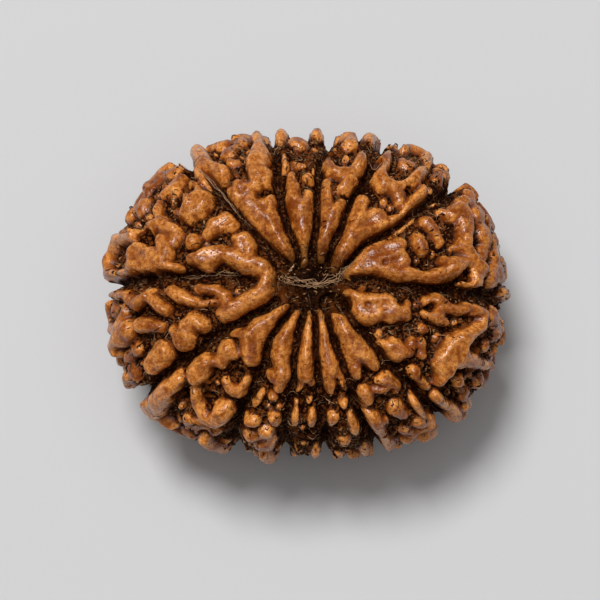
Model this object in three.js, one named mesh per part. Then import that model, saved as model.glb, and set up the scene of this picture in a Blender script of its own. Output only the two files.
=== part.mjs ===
// A thirteen-faced rudraksha seed: the hard stone of the Elaeocarpus fruit, an oval nut about 33 mm long.
// It grew as one piece. Thirteen furrows run from the hollow at its upper pole to the one at its lower
// pole, and between them stand lobes of petals, knobs and winding ridges, with pits in between.
// The surface is a ball of facets pushed out from an egg-shaped bed: at each place of the bed the ridges,
// furrows and pits near it say how far the surface stands over the bed.
// Units are millimetres, +Z is up along the line through both poles, and the seed stands on Z = 0.

import * as THREE from "three";
import { mergeVertices } from "three/addons/utils/BufferGeometryUtils.js";

// Driving dimensions, measured over the ridges.
const LENGTH = 33; // along X
const WIDTH = 27; // along Y
const HEIGHT = 21; // from the table to the top
const RELIEF = 1.7; // from the bed to the top of an ordinary ridge and the lobe under it
const RESTING_CUT = 0.5; // taken flat off the lowest ridges, which are the spots that it rests on

const BED = new THREE.Vector3(LENGTH / 2 - RELIEF, WIDTH / 2 - RELIEF, HEIGHT / 2 - RELIEF);

// The bed is an egg with flattened ends: an ellipse has FLATNESS 2. Seen from above, the oval is also a
// little fuller at its four corners.
const FLATNESS = 2.6;
const FULLNESS = 0.03;
const CORNERS = 4;

// The upper face is measured in a view that leans a little forward from straight down. Places in it are
// millimetres right and up from the hollow at the pole.
const VIEW_ELEVATION = THREE.MathUtils.degToRad(82);
const POLE_X = 0.55; // of the hollow, from the middle of the length
const POLE_Z = 7; // of the hollow's floor, above the middle of the height
const RIM = 0.995; // share of the bed's half-length past which no place goes, unless it has a Z of its own
const PLACING_PASSES = 12;

// The hollows at the poles, and the stem's hole in the upper one.
const HOLLOW = { depth: 1.6, radius: 3.2 };
const STEM_HOLE = { from: [1.05, -1.4], to: [2.45, -1.7], halfWidth: 0.55, depth: 1.6 };
const DEEPEST = -3; // of any place, under the bed

// Furrows, how far the bed sinks in them, and how much they take from the ridges beside them. They widen
// from the pole to the rim and on down the side.
const FURROW = { depth: 0.4, nearPole: 0.2, atRim: 0.3, below: 0.42, cut: 0.8 };

// Between the furrows each lobe bulges as a whole.
const LOBE = { height: 0.5, width: 0.6, reach: 1.5 };

// A ridge has a rounded top and steep sides, and swells a little where it meets another.
const JOINING = 6;
const REACH = 1.5; // in half-widths, past which a ridge has no height left
const BROAD = 0.6; // half-width from which a ridge has its full height
const SLIMNESS = 0.4; // power by which a thinner ridge is lower

// Every outline wanders a little, ridge tops swell and sink, and the bed between them is rough.
const WANDER = { size: 0.26, length: 2.2 };
const SWELL = { share: 0.1, length: 1.7 };
const ROUGHNESS = { size: 0.3, length: 0.9, ridge: 0.9 };

// The ball has 20 faces, each cut into (DETAIL + 1) squared triangles. These are then thinned to FACETS, by
// drawing corners together where the surface bends least.
const DETAIL = 59;
const FACETS = 11900;
const THINNING = { turn: 0.35, slimmest: 0.04, evenness: 2e-4, vague: 1e-5 };
const LEVELLING = 0.15; // height under which a corner is put on the table, once it is thinned

// Furrows of the upper face, from near the pole to the rim: [x, y] in the view.
const FURROWS = [
  [[2.9, 0.3], [4.5, 0.3], [6.5, -0.2], [8.5, -0.4], [10.5, -0.4], [12.2, -0.7], [13.5, -1.2],
    [15.6, -2.2]],
  [[2.6, 1.5], [4.0, 2.7], [5.6, 3.9], [7.1, 4.8], [8.6, 5.6], [9.8, 6.5], [10.6, 7.2], [11.2, 8.0]],
  [[1.2, 2.2], [2.0, 3.8], [2.4, 5.0], [2.9, 6.2], [3.6, 7.1], [4.5, 8.3], [5.2, 10.0], [5.8, 11.0]],
  [[-0.1, 2.4], [0.1, 4.5], [0.1, 6.3], [0.4, 8.0], [0.7, 9.2], [1.1, 10.3], [1.2, 11.6]],
  [[-1.2, 1.9], [-1.7, 3.6], [-2.4, 5.6], [-2.9, 7.3], [-2.8, 8.6], [-3.3, 10.3], [-3.3, 11.6]],
  [[-2.0, 1.6], [-4.2, 3.6], [-5.6, 4.9], [-7.3, 6.9], [-9.2, 8.5], [-10.0, 9.3], [-10.8, 10.2]],
  [[-5.0, 0.6], [-7.0, 0.6], [-9.5, 0.6], [-12.0, 0.3], [-14.2, 0.1], [-16.4, -0.4]],
  [[-3.0, -1.4], [-4.6, -2.4], [-6.4, -3.5], [-8.4, -4.6], [-9.6, -5.6], [-11.0, -6.6], [-12.2, -7.7],
    [-14, -8.8]],
  [[-1.9, -1.6], [-2.9, -3.6], [-3.7, -5.2], [-4.2, -6.8], [-4.9, -8.2], [-5.8, -10], [-6.3, -11.8],
    [-6.6, -13.4]],
  [[-0.8, -1.8], [-1.3, -3.9], [-1.65, -6.0], [-1.6, -7.8], [-2.0, -9.4], [-2.2, -11.5], [-2.2, -13.4]],
  [[0.0, -1.6], [0.05, -4.0], [0.25, -6.5], [0.4, -8.5], [0.8, -10.3], [0.9, -12.0], [1.0, -13.8]],
  [[0.9, -2.1], [1.4, -4.2], [2.1, -5.8], [2.7, -7.3], [3.2, -9.2], [3.9, -10.6], [4.6, -12.1],
    [5.2, -13.6]],
  [[2.2, -1.4], [3.2, -2.8], [4.3, -4.0], [5.3, -5.3], [6.2, -6.7], [7.3, -7.6], [8.4, -8.6],
    [9.5, -9.5], [11, -11]],
];

// Ridges of the upper face, lobe by lobe, going anticlockwise from the right. Each is its height over the
// bed, then its places: [x, y, half-width] in the view, with Z from mid-height as a fourth number where it
// stands out of the seed's side.
const LOBES = {
  right_back: [
    [1.45, [2.6, 0.9, 0.3], [4.6, 2.0, 0.72], [5.8, 2.9, 0.85], [6.6, 3.5, 0.5]],
    [1.4, [5.0, 1.6, 0.6], [6.4, 2.1, 0.8], [7.0, 1.9, 0.5]],
    [1.6, [2.7, 0.75, 0.32], [5.5, 1.2, 0.5], [7.2, 0.9, 0.55], [8.8, 0.5, 0.5], [10.2, 0.8, 0.5],
      [11.2, 1.3, 0.6]],
    [1.7, [11.2, 1.3, 0.6], [12.5, 1.6, 0.4]],
    [1.45, [10.4, 1.9, 0.35], [10.9, 1.4, 0.4]],
    [1.4, [8.2, 3.6, 0.5], [8.5, 2.9, 0.4]],
    [1.45, [9.1, 5.0, 0.42], [9.8, 4.3, 0.4], [10.2, 3.4, 0.3]],
    [1.35, [10.4, 5.8, 0.3], [10.9, 5.3, 0.3]],
    [1.8, [11.4, 5.6, 0.5], [12.0, 6.2, 0.55], [12.3, 5.2, 0.7], [12.4, 4.5, 0.6], [12.4, 3.6, 0.45]],
    [1.75, [12.4, 3.6, 0.45], [12.2, 2.9, 0.5], [13.0, 2.0, 0.42], [13.6, 1.5, 0.45]],
    [1.4, [12.2, 2.9, 0.5], [11.3, 2.6, 0.3]],
    [1.7, [13.0, 0.7, 0.5], [13.4, -0.1, 0.5], [12.6, -0.1, 0.4]],
    [1.4, [13.3, 0.4, 0.35], [13.7, 1.2, 0.35]],
    [1.6, [14.2, 1.7, 0.3, 1.5], [15.0, 1.3, 0.4, 0.5], [15.1, 0.4, 0.35, 0]],
    [1.6, [13.9, -0.6, 0.3, 2], [14.7, -0.9, 0.45, 0.5], [15.4, -0.7, 0.4, -1]],
    [1.55, [10.5, 7.9, 0.3, 1], [11.1, 7.7, 0.45, 1], [11.7, 7.0, 0.4, 1.5], [12.3, 6.6, 0.3, 1.5]],
    [1.55, [12.9, 5.9, 0.3, 0.5], [13.8, 4.9, 0.4, 0], [14.3, 4.3, 0.45, -0.5], [13.6, 4.3, 0.4, 0]],
    [1.4, [13.4, 3.2, 0.35, 0], [13.8, 2.8, 0.3, -1]],
  ],
  back_right_wide: [
    [1.55, [1.6, 1.3, 0.25], [2.4, 3.6, 0.52], [3.1, 5.2, 0.6], [3.8, 6.7, 0.5]],
    [1.55, [1.9, 1.7, 0.25], [3.4, 3.5, 0.5], [5.2, 4.3, 0.5], [7.0, 5.3, 0.5], [7.9, 5.7, 0.35]],
    [1.35, [2.6, 3.3, 0.4], [3.8, 4.6, 0.9], [5.0, 5.3, 0.75]],
    [1.7, [7.5, 6.0, 0.35], [8.4, 6.6, 0.5], [9.2, 7.2, 0.6], [9.2, 7.9, 0.3]],
    [1.4, [9.2, 7.2, 0.5], [10.1, 6.8, 0.25]],
    [1.75, [5.4, 10.0, 0.4], [5.3, 9.0, 0.5], [5.7, 8.1, 0.6], [6.6, 7.8, 0.5], [7.6, 8.1, 0.5],
      [8.4, 8.7, 0.5]],
    [1.7, [8.4, 8.7, 0.5], [8.6, 9.4, 0.45, 1.5], [8.0, 9.9, 0.45, 1.5], [7.0, 9.8, 0.35, 2],
      [6.5, 9.4, 0.25, 3]],
    [1.6, [5.4, 10.0, 0.4], [6.2, 10.5, 0.35, 1]],
    [1.35, [6.6, 7.6, 0.5], [7.0, 6.6, 0.4]],
  ],
  back_right_narrow: [
    [1.45, [0.6, 2.3, 0.25], [0.85, 4.4, 0.55], [1.1, 5.5, 0.75]],
    [1.4, [0.8, 5.6, 0.55], [0.95, 7.0, 0.4], [1.0, 8.1, 0.35]],
    [1.45, [1.3, 5.3, 0.5], [2.1, 6.4, 0.45]],
    [1.55, [1.9, 7.7, 0.3], [3.0, 8.1, 0.62]],
    [1.7, [1.4, 9.9, 0.35], [1.6, 9.1, 0.4], [2.2, 8.9, 0.4], [3.3, 9.1, 0.3], [3.7, 9.6, 0.4]],
    [1.75, [3.7, 9.6, 0.4], [4.2, 10.5, 0.5, 2], [4.8, 11.3, 0.45, 1], [5.4, 10.9, 0.25, 0.5]],
    [1.55, [1.4, 10.9, 0.3, 1.5], [1.5, 10.4, 0.3, 2]],
    [1.6, [2.2, 10.9, 0.4, 0.5], [2.7, 10.2, 0.35, 1]],
  ],
  back_left_narrow: [
    [1.45, [-0.8, 2.0, 0.22], [-0.95, 4.5, 0.48], [-1.0, 5.8, 0.7]],
    [1.45, [-1.2, 5.8, 0.5], [-1.7, 7.2, 0.45], [-1.8, 8.8, 0.35]],
    [1.4, [-0.8, 6.0, 0.5], [-0.5, 7.1, 0.4]],
    [1.35, [-0.4, 8.6, 0.42]],
    [1.7, [-2.5, 9.8, 0.4], [-2.3, 10.7, 0.5, 2], [-2.4, 11.4, 0.42, 0.5]],
    [1.1, [-1.5, 9.7, 0.3], [-0.7, 9.5, 0.3]],
    [1.7, [0.3, 9.5, 0.3], [0.2, 10.2, 0.42, 2], [0.5, 11.0, 0.4, 0.5]],
  ],
  back_left_wide: [
    [1.55, [-2.1, 2.3, 0.4], [-3.9, 5.1, 0.78], [-5.2, 6.6, 0.6], [-5.3, 7.8, 0.5], [-6.0, 8.0, 0.45]],
    [1.55, [-2.15, 2.5, 0.42], [-2.9, 5.2, 0.62], [-3.3, 6.9, 0.5]],
    [1.35, [-3.0, 4.2, 0.5], [-3.9, 6.2, 0.8]],
    [1.7, [-6.5, 7.2, 0.65]],
    [1.7, [-4.6, 8.3, 0.45], [-4.5, 9.6, 0.6], [-4.4, 10.5, 0.55], [-4.1, 11.1, 0.4, 2.5]],
    [1.6, [-4.2, 9.1, 0.5], [-3.7, 8.8, 0.6]],
    [1.6, [-5.7, 10.7, 0.55, 1.5], [-4.7, 11.4, 0.5, 0], [-3.9, 11.9, 0.42, -0.5],
      [-3.8, 11.1, 0.3, 0.5]],
    [1.75, [-9.2, 10.2, 0.6, 2.5], [-8.9, 9.6, 0.7], [-8.2, 9.0, 0.8], [-7.4, 9.0, 0.55]],
    [1.55, [-8.4, 10.7, 0.35, 1], [-7.5, 10.6, 0.4, 1], [-7.4, 10.0, 0.35, 1.5]],
    [1.2, [-6.6, 9.8, 0.4], [-6.0, 9.9, 0.3]],
    [1.55, [-10.3, 10.0, 0.5, 1.5]],
  ],
  left_back: [
    [1.7, [-9.6, 2.2, 0.4], [-8.6, 2.1, 0.72], [-7.3, 2.5, 0.5], [-6.3, 2.2, 0.55], [-5.0, 1.8, 0.6],
      [-4.1, 1.6, 0.55]],
    [1.6, [-4.1, 1.6, 0.55], [-3.5, 0.7, 0.5], [-3.8, -0.2, 0.6], [-4.6, -0.9, 0.65]],
    [1.45, [-5.0, 2.0, 0.5], [-4.9, 3.2, 0.45], [-5.3, 3.9, 0.42], [-6.1, 3.7, 0.35]],
    [1.25, [-5.7, 3.0, 0.55]],
    [1.55, [-6.9, 5.1, 0.75], [-7.8, 4.9, 0.65], [-8.5, 4.2, 0.4]],
    [1.35, [-9.6, 3.6, 0.5]],
    [1.8, [-10.0, 5.9, 0.6], [-9.5, 6.5, 0.8], [-8.8, 6.9, 0.6]],
    [1.6, [-9.1, 7.2, 0.4], [-9.3, 8.0, 0.25], [-9.8, 8.3, 0.22], [-10.2, 7.7, 0.22], [-10.2, 7.0, 0.3]],
    [1.45, [-12.1, 7.3, 0.3], [-11.3, 7.9, 0.5], [-10.7, 8.8, 0.4]],
    [1.6, [-11.1, 9.0, 0.35, 1.5], [-12.1, 8.5, 0.5, 1], [-13.0, 7.9, 0.45, 0.5], [-12.8, 7.1, 0.3, 1.5]],
    [1.55, [-13.5, 7.0, 0.4, -1.5], [-13.8, 6.3, 0.45, -2], [-13.6, 5.5, 0.42, -1.5],
      [-13.1, 5.0, 0.4, -0.5]],
    [1.55, [-12.6, 6.7, 0.22], [-12.6, 6.0, 0.32], [-12.4, 5.3, 0.32], [-11.8, 5.1, 0.4]],
    [1.7, [-11.2, 4.5, 0.5], [-12.2, 4.8, 0.5], [-13.3, 4.5, 0.4], [-14.4, 4.0, 0.42]],
    [1.7, [-14.4, 4.0, 0.42], [-15.4, 3.5, 0.45, 2], [-16.1, 2.7, 0.45, 1], [-16.3, 1.8, 0.45, 0.5]],
    [1.75, [-16.3, 1.8, 0.45, 0.5], [-16.3, 1.0, 0.6, 0.5], [-15.9, 0.6, 0.5, 1.5], [-15.2, 0.8, 0.4],
      [-14.7, 1.3, 0.5]],
    [1.8, [-14.3, 2.5, 0.8], [-13.9, 1.9, 0.95], [-13.0, 1.5, 0.75], [-12.0, 1.2, 0.55],
      [-10.9, 1.5, 0.35]],
    [1.7, [-12.2, 3.3, 0.6], [-12.0, 2.4, 0.6]],
    [1.35, [-10.9, 4.2, 0.5], [-11.3, 3.2, 0.4]],
  ],
  left_front: [
    [1.6, [-4.6, -0.9, 0.65], [-5.7, -1.6, 0.65], [-7.0, -2.4, 0.5]],
    [1.45, [-9.0, -0.3, 0.35], [-7.6, -0.4, 0.42], [-7.0, -0.9, 0.5], [-6.6, -1.6, 0.5]],
    [1.2, [-9.5, -1.5, 0.25], [-8.2, -1.6, 0.22], [-7.4, -1.5, 0.3]],
    [1.55, [-11.4, -0.6, 0.38], [-10.6, -1.0, 0.5], [-9.9, -1.3, 0.4], [-9.4, -1.3, 0.3]],
    [1.7, [-13.2, -0.8, 0.32], [-13.8, -1.3, 0.35], [-14.5, -1.8, 0.38]],
    [1.7, [-13.4, -1.1, 0.32], [-12.8, -1.6, 0.4], [-11.9, -2.1, 0.42]],
    [1.55, [-16.0, -0.9, 0.25, 1.5], [-15.3, -0.9, 0.35], [-14.9, -1.4, 0.4]],
    [1.6, [-16.3, -1.6, 0.35, 0.5], [-16.3, -2.6, 0.38, 0], [-16.0, -3.3, 0.45, 0.5], [-15.3, -3.8, 0.5]],
    [1.7, [-15.3, -3.8, 0.5], [-14.5, -4.3, 0.5, 2.5], [-13.9, -4.8, 0.4, 2.5]],
    [1.4, [-15.5, -1.9, 0.2], [-15.5, -2.6, 0.3], [-15.8, -3.2, 0.35]],
    [1.6, [-14.1, -3.5, 0.45], [-13.3, -3.4, 0.42], [-12.3, -3.6, 0.3]],
    [1.75, [-11.2, -3.7, 0.35], [-10.4, -4.3, 0.75], [-10.1, -3.5, 0.5], [-9.6, -2.7, 0.42],
      [-8.7, -3.3, 0.42]],
    [1.75, [-12.2, -5.6, 0.7], [-12.9, -6.7, 0.72]],
    [1.55, [-13.9, -6.6, 0.4, 1.5], [-14.3, -7.3, 0.6, 0]],
    [1.45, [-16.2, -0.4, 0.35, -1.5]],
  ],
  front_left_broad: [
    [1.45, [-2.3, -1.7, 0.25], [-4.2, -3.4, 0.65], [-4.9, -4.6, 0.75], [-5.0, -5.8, 0.6]],
    [1.4, [-6.3, -3.9, 0.22], [-5.0, -4.1, 0.5]],
    [1.45, [-6.8, -5.1, 0.55], [-6.4, -5.5, 0.4]],
    [1.4, [-6.8, -5.2, 0.5], [-7.4, -6.0, 0.48], [-8.1, -6.1, 0.4]],
    [1.8, [-8.7, -6.2, 0.55], [-9.1, -6.9, 0.7], [-9.6, -7.4, 0.62]],
    [1.55, [-7.1, -7.7, 0.28], [-6.6, -8.3, 0.45], [-6.0, -8.6, 0.42], [-5.5, -7.9, 0.35]],
    [1.7, [-9.7, -8.6, 0.35], [-9.5, -9.6, 0.38], [-8.8, -10.6, 0.5], [-8.0, -10.8, 0.6],
      [-7.3, -10.3, 0.7]],
    [1.6, [-7.3, -10.3, 0.7], [-6.8, -9.7, 0.35]],
    [1.6, [-7.9, -11.1, 0.5, 2], [-7.4, -12.1, 0.42, 0], [-7.2, -13.0, 0.35, -1.5]],
    [1.8, [-11.0, -7.6, 0.42], [-11.8, -8.5, 0.65], [-12.5, -9.3, 0.8, 1.5], [-13.5, -9.8, 0.65, 0.5]],
    [1.55, [-12.2, -10.1, 0.5, 1], [-10.9, -10.4, 0.45, 1.5]],
    [1.4, [-13.2, -10.5, 0.4, -1.5], [-12.0, -11.3, 0.4, -2], [-10.9, -11.4, 0.4, -2],
      [-9.4, -11.6, 0.4, -2]],
    [1.4, [-6.0, -12.2, 0.22, 0.5], [-6.1, -13.2, 0.35, -1.5]],
  ],
  front_left_narrow: [
    [1.45, [-1.5, -1.9, 0.2], [-2.4, -4.4, 0.52], [-2.8, -5.6, 0.65], [-2.8, -6.6, 0.55]],
    [1.55, [-3.4, -7.2, 0.4], [-2.7, -7.2, 0.6], [-2.8, -7.9, 0.4]],
    [1.25, [-3.3, -8.7, 0.32]],
    [1.25, [-4.2, -8.7, 0.26], [-4.8, -9.6, 0.25]],
    [1.6, [-3.2, -10.7, 0.42], [-3.0, -11.3, 0.3]],
    [1.55, [-5.4, -11.1, 0.42], [-4.8, -11.1, 0.42]],
    [1.75, [-3.7, -11.9, 0.35, 1], [-3.4, -12.8, 0.55, -0.5], [-2.9, -13.8, 0.3, -2]],
  ],
  front_middle: [
    [1.4, [-0.6, -1.9, 0.18], [-0.75, -4.5, 0.38], [-0.75, -6.0, 0.58], [-0.75, -7.2, 0.5]],
    [1.35, [-0.6, -7.2, 0.35], [-0.3, -7.9, 0.25]],
    [1.25, [-1.0, -7.2, 0.35], [-1.3, -8.5, 0.2]],
    [1.25, [-0.4, -9.4, 0.27]],
    [1.6, [-0.1, -10.5, 0.27], [0.0, -11.3, 0.35, 1.5], [0.15, -12.3, 0.35, 0], [0.2, -13.2, 0.3, -1.5]],
    [1.55, [-1.5, -9.6, 0.2], [-1.55, -10.7, 0.28], [-1.5, -11.8, 0.2, 1]],
    [1.4, [-1.6, -12.8, 0.3, -1.5], [-1.6, -13.2, 0.25, -2.5]],
  ],
  front_right_narrow: [
    [1.45, [0.35, -1.8, 0.18], [0.8, -4.4, 0.42], [1.2, -6.0, 0.65], [1.1, -7.4, 0.45], [1.2, -8.5, 0.3]],
    [1.35, [1.7, -6.8, 0.33], [2.3, -7.9, 0.22], [2.5, -8.4, 0.15]],
    [1.4, [2.4, -9.6, 0.36]],
    [1.45, [1.5, -10.8, 0.42], [1.4, -11.4, 0.3]],
    [1.45, [1.7, -11.9, 0.25, 1], [1.9, -12.6, 0.32, 0]],
    [1.6, [3.0, -10.6, 0.22], [3.3, -11.5, 0.35], [3.7, -12.3, 0.36, 0.5], [4.5, -13.4, 0.32, -2]],
    [1.4, [1.5, -13.2, 0.3, -2.5]],
  ],
  front_right_broad: [
    [1.55, [1.55, -1.4, 0.25], [2.3, -3.3, 0.55], [3.2, -4.5, 0.7], [4.3, -5.4, 0.5], [5.0, -6.2, 0.35]],
    [1.45, [2.7, -4.0, 0.55], [3.1, -5.6, 0.6], [3.3, -6.8, 0.48]],
    [1.6, [5.4, -7.4, 0.38], [6.0, -7.6, 0.48], [6.6, -8.2, 0.4], [6.6, -8.7, 0.25]],
    [1.4, [5.0, -8.2, 0.3], [5.7, -8.3, 0.3]],
    [1.55, [4.2, -8.5, 0.45], [4.4, -9.2, 0.45], [4.2, -9.9, 0.25]],
    [1.55, [6.6, -10.0, 0.5], [7.3, -10.4, 0.33]],
    [1.7, [8.2, -9.4, 0.4], [8.9, -9.9, 0.5], [9.3, -10.5, 0.38]],
    [1.6, [4.4, -10.3, 0.33], [5.0, -11.1, 0.5], [5.6, -12.0, 0.36, 1], [6.0, -12.6, 0.3, 0]],
    [1.4, [5.8, -10.9, 0.22], [6.1, -12.0, 0.25, 0.5]],
    [1.6, [8.6, -12.0, 0.5, 0], [9.6, -12.0, 0.5, -1], [10.3, -11.4, 0.45, -1], [9.7, -11.0, 0.3, 0.5]],
    [1.4, [6.8, -12.6, 0.35, -2]],
  ],
  right_front: [
    [1.6, [2.8, -1.0, 0.5], [4.3, -1.9, 0.95], [5.6, -1.7, 0.78], [6.4, -2.4, 0.55], [7.3, -2.3, 0.42]],
    [1.4, [7.3, -2.3, 0.4], [7.5, -1.6, 0.28]],
    [1.55, [5.6, -4.7, 0.42], [6.4, -5.1, 0.75], [7.4, -5.1, 0.4]],
    [1.35, [7.4, -5.1, 0.35], [7.8, -4.2, 0.28]],
    [1.45, [8.0, -6.8, 0.42], [8.5, -7.3, 0.32], [9.1, -7.9, 0.42]],
    [1.55, [9.1, -1.2, 0.3], [10.2, -1.1, 0.32], [10.7, -1.7, 0.35], [11.5, -1.8, 0.3],
      [12.3, -1.7, 0.32]],
    [1.45, [9.0, -2.2, 0.3], [9.8, -2.5, 0.42], [10.4, -2.9, 0.3]],
    [1.35, [9.9, -1.3, 0.35], [9.9, -2.3, 0.4]],
    [1.7, [12.9, -1.9, 0.32], [13.9, -2.3, 0.42], [13.6, -3.3, 0.5], [12.8, -3.8, 0.5],
      [11.9, -4.4, 0.6]],
    [1.75, [11.9, -4.4, 0.6], [11.3, -5.3, 0.8], [10.5, -6.0, 0.7], [10.6, -6.9, 0.55],
      [10.2, -7.7, 0.35]],
    [1.6, [11.3, -5.8, 0.75], [12.4, -6.2, 0.42], [13.4, -6.0, 0.38, 1.5]],
    [1.7, [14.6, -2.6, 0.4, 1], [15.3, -3.2, 0.5, -0.5], [15.3, -4.0, 0.45, -1],
      [14.8, -4.4, 0.35, -0.5]],
    [1.4, [14.2, -4.0, 0.22, 1], [14.1, -5.1, 0.24, 1]],
    [1.55, [14.7, -5.6, 0.25, -2], [14.8, -6.3, 0.3, -2], [14.2, -7.0, 0.35, -2],
      [13.2, -7.4, 0.4, -2], [12.2, -7.4, 0.3, -1]],
    [1.75, [9.9, -8.9, 0.36], [10.5, -9.6, 0.4, 1.5], [10.9, -10.1, 0.4, 0.5], [11.6, -9.9, 0.42, -0.5]],
    [1.6, [11.6, -9.9, 0.42, -0.5], [11.9, -9.2, 0.4, -0.5], [11.2, -9.0, 0.4, 1]],
    [1.2, [8.4, -4.3, 0.28], [8.5, -5.3, 0.3]],
    [1.05, [8.6, -3.3, 0.3]],
  ],
};

// Pits that break into the ridges: [x, y, radius, depth], with Z as a fifth number on the side.
const PITS = [
  [-9.8, 7.6, 0.3, 1.8],
  [-13.4, 3.8, 0.5, 2.0],
  [-15.4, 2.1, 0.42, 2.0, 3],
  [-13.1, 2.95, 0.25, 1.4],
  [-15.7, 3.1, 0.22, 1.2, 3],
  [7.1, 9.0, 0.42, 2.0],
  [7.7, 7.4, 0.35, 1.6],
  [12.3, 0.8, 0.35, 1.8],
  [5.5, 1.7, 0.2, 0.5],
  [4.4, -1.7, 0.25, 0.4],
  [9.3, -1.7, 0.3, 1.0],
  [13.0, -4.9, 0.5, 1.5],
  [-6.1, -7.3, 0.4, 0.8],
  [-8.3, -9.4, 0.4, 1.0],
  [-10.6, -9.1, 0.5, 1.5],
  [11.0, -8.4, 0.35, 1.2],
];

// The underside and the side, by rule: bearings are degrees round the seed from +X, and angles are degrees
// down from the upper pole. All lengths are on the bed.
const SEED = 20130;
const LOWER_FURROW = { from: 98, to: 170, step: 9, sway: 5, evening: 0.5 };
const PETAL = { root: 170, broad: 155, tip: 144, height: 1.6, rootHalfWidth: 0.3, share: 0.36, wide: 30 };
const RIBS = {
  from: 84, to: 146, apart: 1.9, sway: 0.28, short: 9, long: 20, break: 5, parts: 3, level: 100,
  thin: 0.5, thick: 0.82, low: 0.95, high: 1.3, gap: 0.1,
};
const KNOBS = { tries: 2500, from: 55, to: 146, gap: 0.25, thin: 0.4, thick: 0.7, low: 0.8, high: 1.3 };
const LINKS = { reach: 2.2, most: 2, chance: 0.55, neck: 0.8, bend: 0.12 };

// A repeatable draw between 0 and 1.
function makeDraw(seed) {
  let state = seed;
  return () => {
    state = (state * 16807) % 2147483647;
    return state / 2147483647;
  };
}

// Smooth noise between -1 and 1, from a scrambled value at each corner of a unit lattice.
function latticeValue(i, j, k) {
  const scrambled = Math.sin(i * 127.1 + j * 311.7 + k * 74.7) * 43758.5453;
  return 2 * (scrambled - Math.floor(scrambled)) - 1;
}

function noise(point, length, shift = 0) {
  const [x, y, z] = [point.x / length + shift, point.y / length, point.z / length];
  const [i, j, k] = [Math.floor(x), Math.floor(y), Math.floor(z)];
  const [u, v, w] = [x - i, y - j, z - k].map((t) => t * t * (3 - 2 * t));
  const row = (dj, dk) => {
    const start = latticeValue(i, j + dj, k + dk);
    return THREE.MathUtils.lerp(start, latticeValue(i + 1, j + dj, k + dk), u);
  };
  const near = THREE.MathUtils.lerp(row(0, 0), row(1, 0), v);
  return THREE.MathUtils.lerp(near, THREE.MathUtils.lerp(row(0, 1), row(1, 1), v), w);
}

// The bed's point in a direction, and the way out of the bed there.
function bedPoint(direction) {
  const bearing = Math.atan2(direction.y, direction.x);
  const sideways = Math.hypot(direction.x, direction.y);
  const upright = Math.abs(direction.z);
  const fuller = 1 - FULLNESS * sideways ** 2 * Math.cos(CORNERS * bearing);
  const far = (sideways ** FLATNESS + upright ** FLATNESS) ** (-1 / FLATNESS);
  const bed = direction.clone().multiply(BED).multiplyScalar(far);
  return bed.multiply(new THREE.Vector3(fuller, fuller, 1));
}

function wayOut(direction) {
  const sideways = Math.hypot(direction.x, direction.y) ** (FLATNESS - 2);
  const upright = Math.abs(direction.z) ** (FLATNESS - 2);
  const steepness = new THREE.Vector3(sideways, sideways, upright);
  return direction.clone().multiply(steepness).divide(BED).normalize();
}

// The direction of a place in the view, for a ridge of some height: a first guess is shifted on the bed,
// seen from above, until the ridge's top shows where it should. With a Z of its own the place is on the
// side, and the guess is right.
function placeInView(x, y, height, z) {
  const [sin, cos] = [Math.sin(VIEW_ELEVATION), Math.cos(VIEW_ELEVATION)];
  const size = BED.clone().addScalar(height);
  const right = x + POLE_X;
  const up = y + POLE_Z * cos;
  const level = z ?? POLE_Z;
  const guess = new THREE.Vector2(right / size.x, (up - level * cos) / sin / size.y);
  const direction = new THREE.Vector3(guess.x, guess.y, level / size.z).normalize();
  for (let pass = 0; pass < PLACING_PASSES && z === undefined; pass += 1) {
    guess.clampLength(0, RIM);
    direction.set(guess.x, guess.y, (1 - guess.length() ** FLATNESS) ** (1 / FLATNESS)).normalize();
    const top = bedPoint(direction).addScaledVector(wayOut(direction), height);
    guess.x += (right - top.x) / size.x;
    guess.y += (up - top.y * sin - top.z * cos) / size.y;
  }
  return direction;
}

function placeByAngles(bearing, down) {
  const [turn, lean] = [bearing, down].map(THREE.MathUtils.degToRad);
  const out = Math.sin(lean);
  return new THREE.Vector3(out * Math.cos(turn), out * Math.sin(turn), Math.cos(lean));
}

// A ridge or furrow: its height, its places along the seed, and the ball that holds all its relief.
function makeLine(height, places) {
  const points = places.map(({ direction }) => bedPoint(direction));
  const halfWidths = places.map(({ halfWidth }) => halfWidth);
  const ball = new THREE.Box3().setFromPoints(points).getBoundingSphere(new THREE.Sphere());
  ball.radius += REACH * Math.max(...halfWidths);
  return { height, points, halfWidths, ball };
}

// How far a point is from a line's nearest stretch, counted in half-widths, and the half-width there.
function nearest(line, point) {
  const { points, halfWidths } = line;
  let best = { share: Infinity, halfWidth: halfWidths[0], distance: Infinity };
  for (let n = 0; n < Math.max(points.length - 1, 1); n += 1) {
    const next = Math.min(n + 1, points.length - 1);
    const along = points[next].clone().sub(points[n]);
    const reached = point.clone().sub(points[n]).dot(along) / (along.lengthSq() || 1);
    const t = THREE.MathUtils.clamp(reached, 0, 1);
    const distance = point.distanceTo(points[n].clone().addScaledVector(along, t));
    const halfWidth = THREE.MathUtils.lerp(halfWidths[n], halfWidths[next], t);
    if (distance / halfWidth < best.share) {
      best = { share: distance / halfWidth, halfWidth, distance };
    }
  }
  return best;
}

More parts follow.
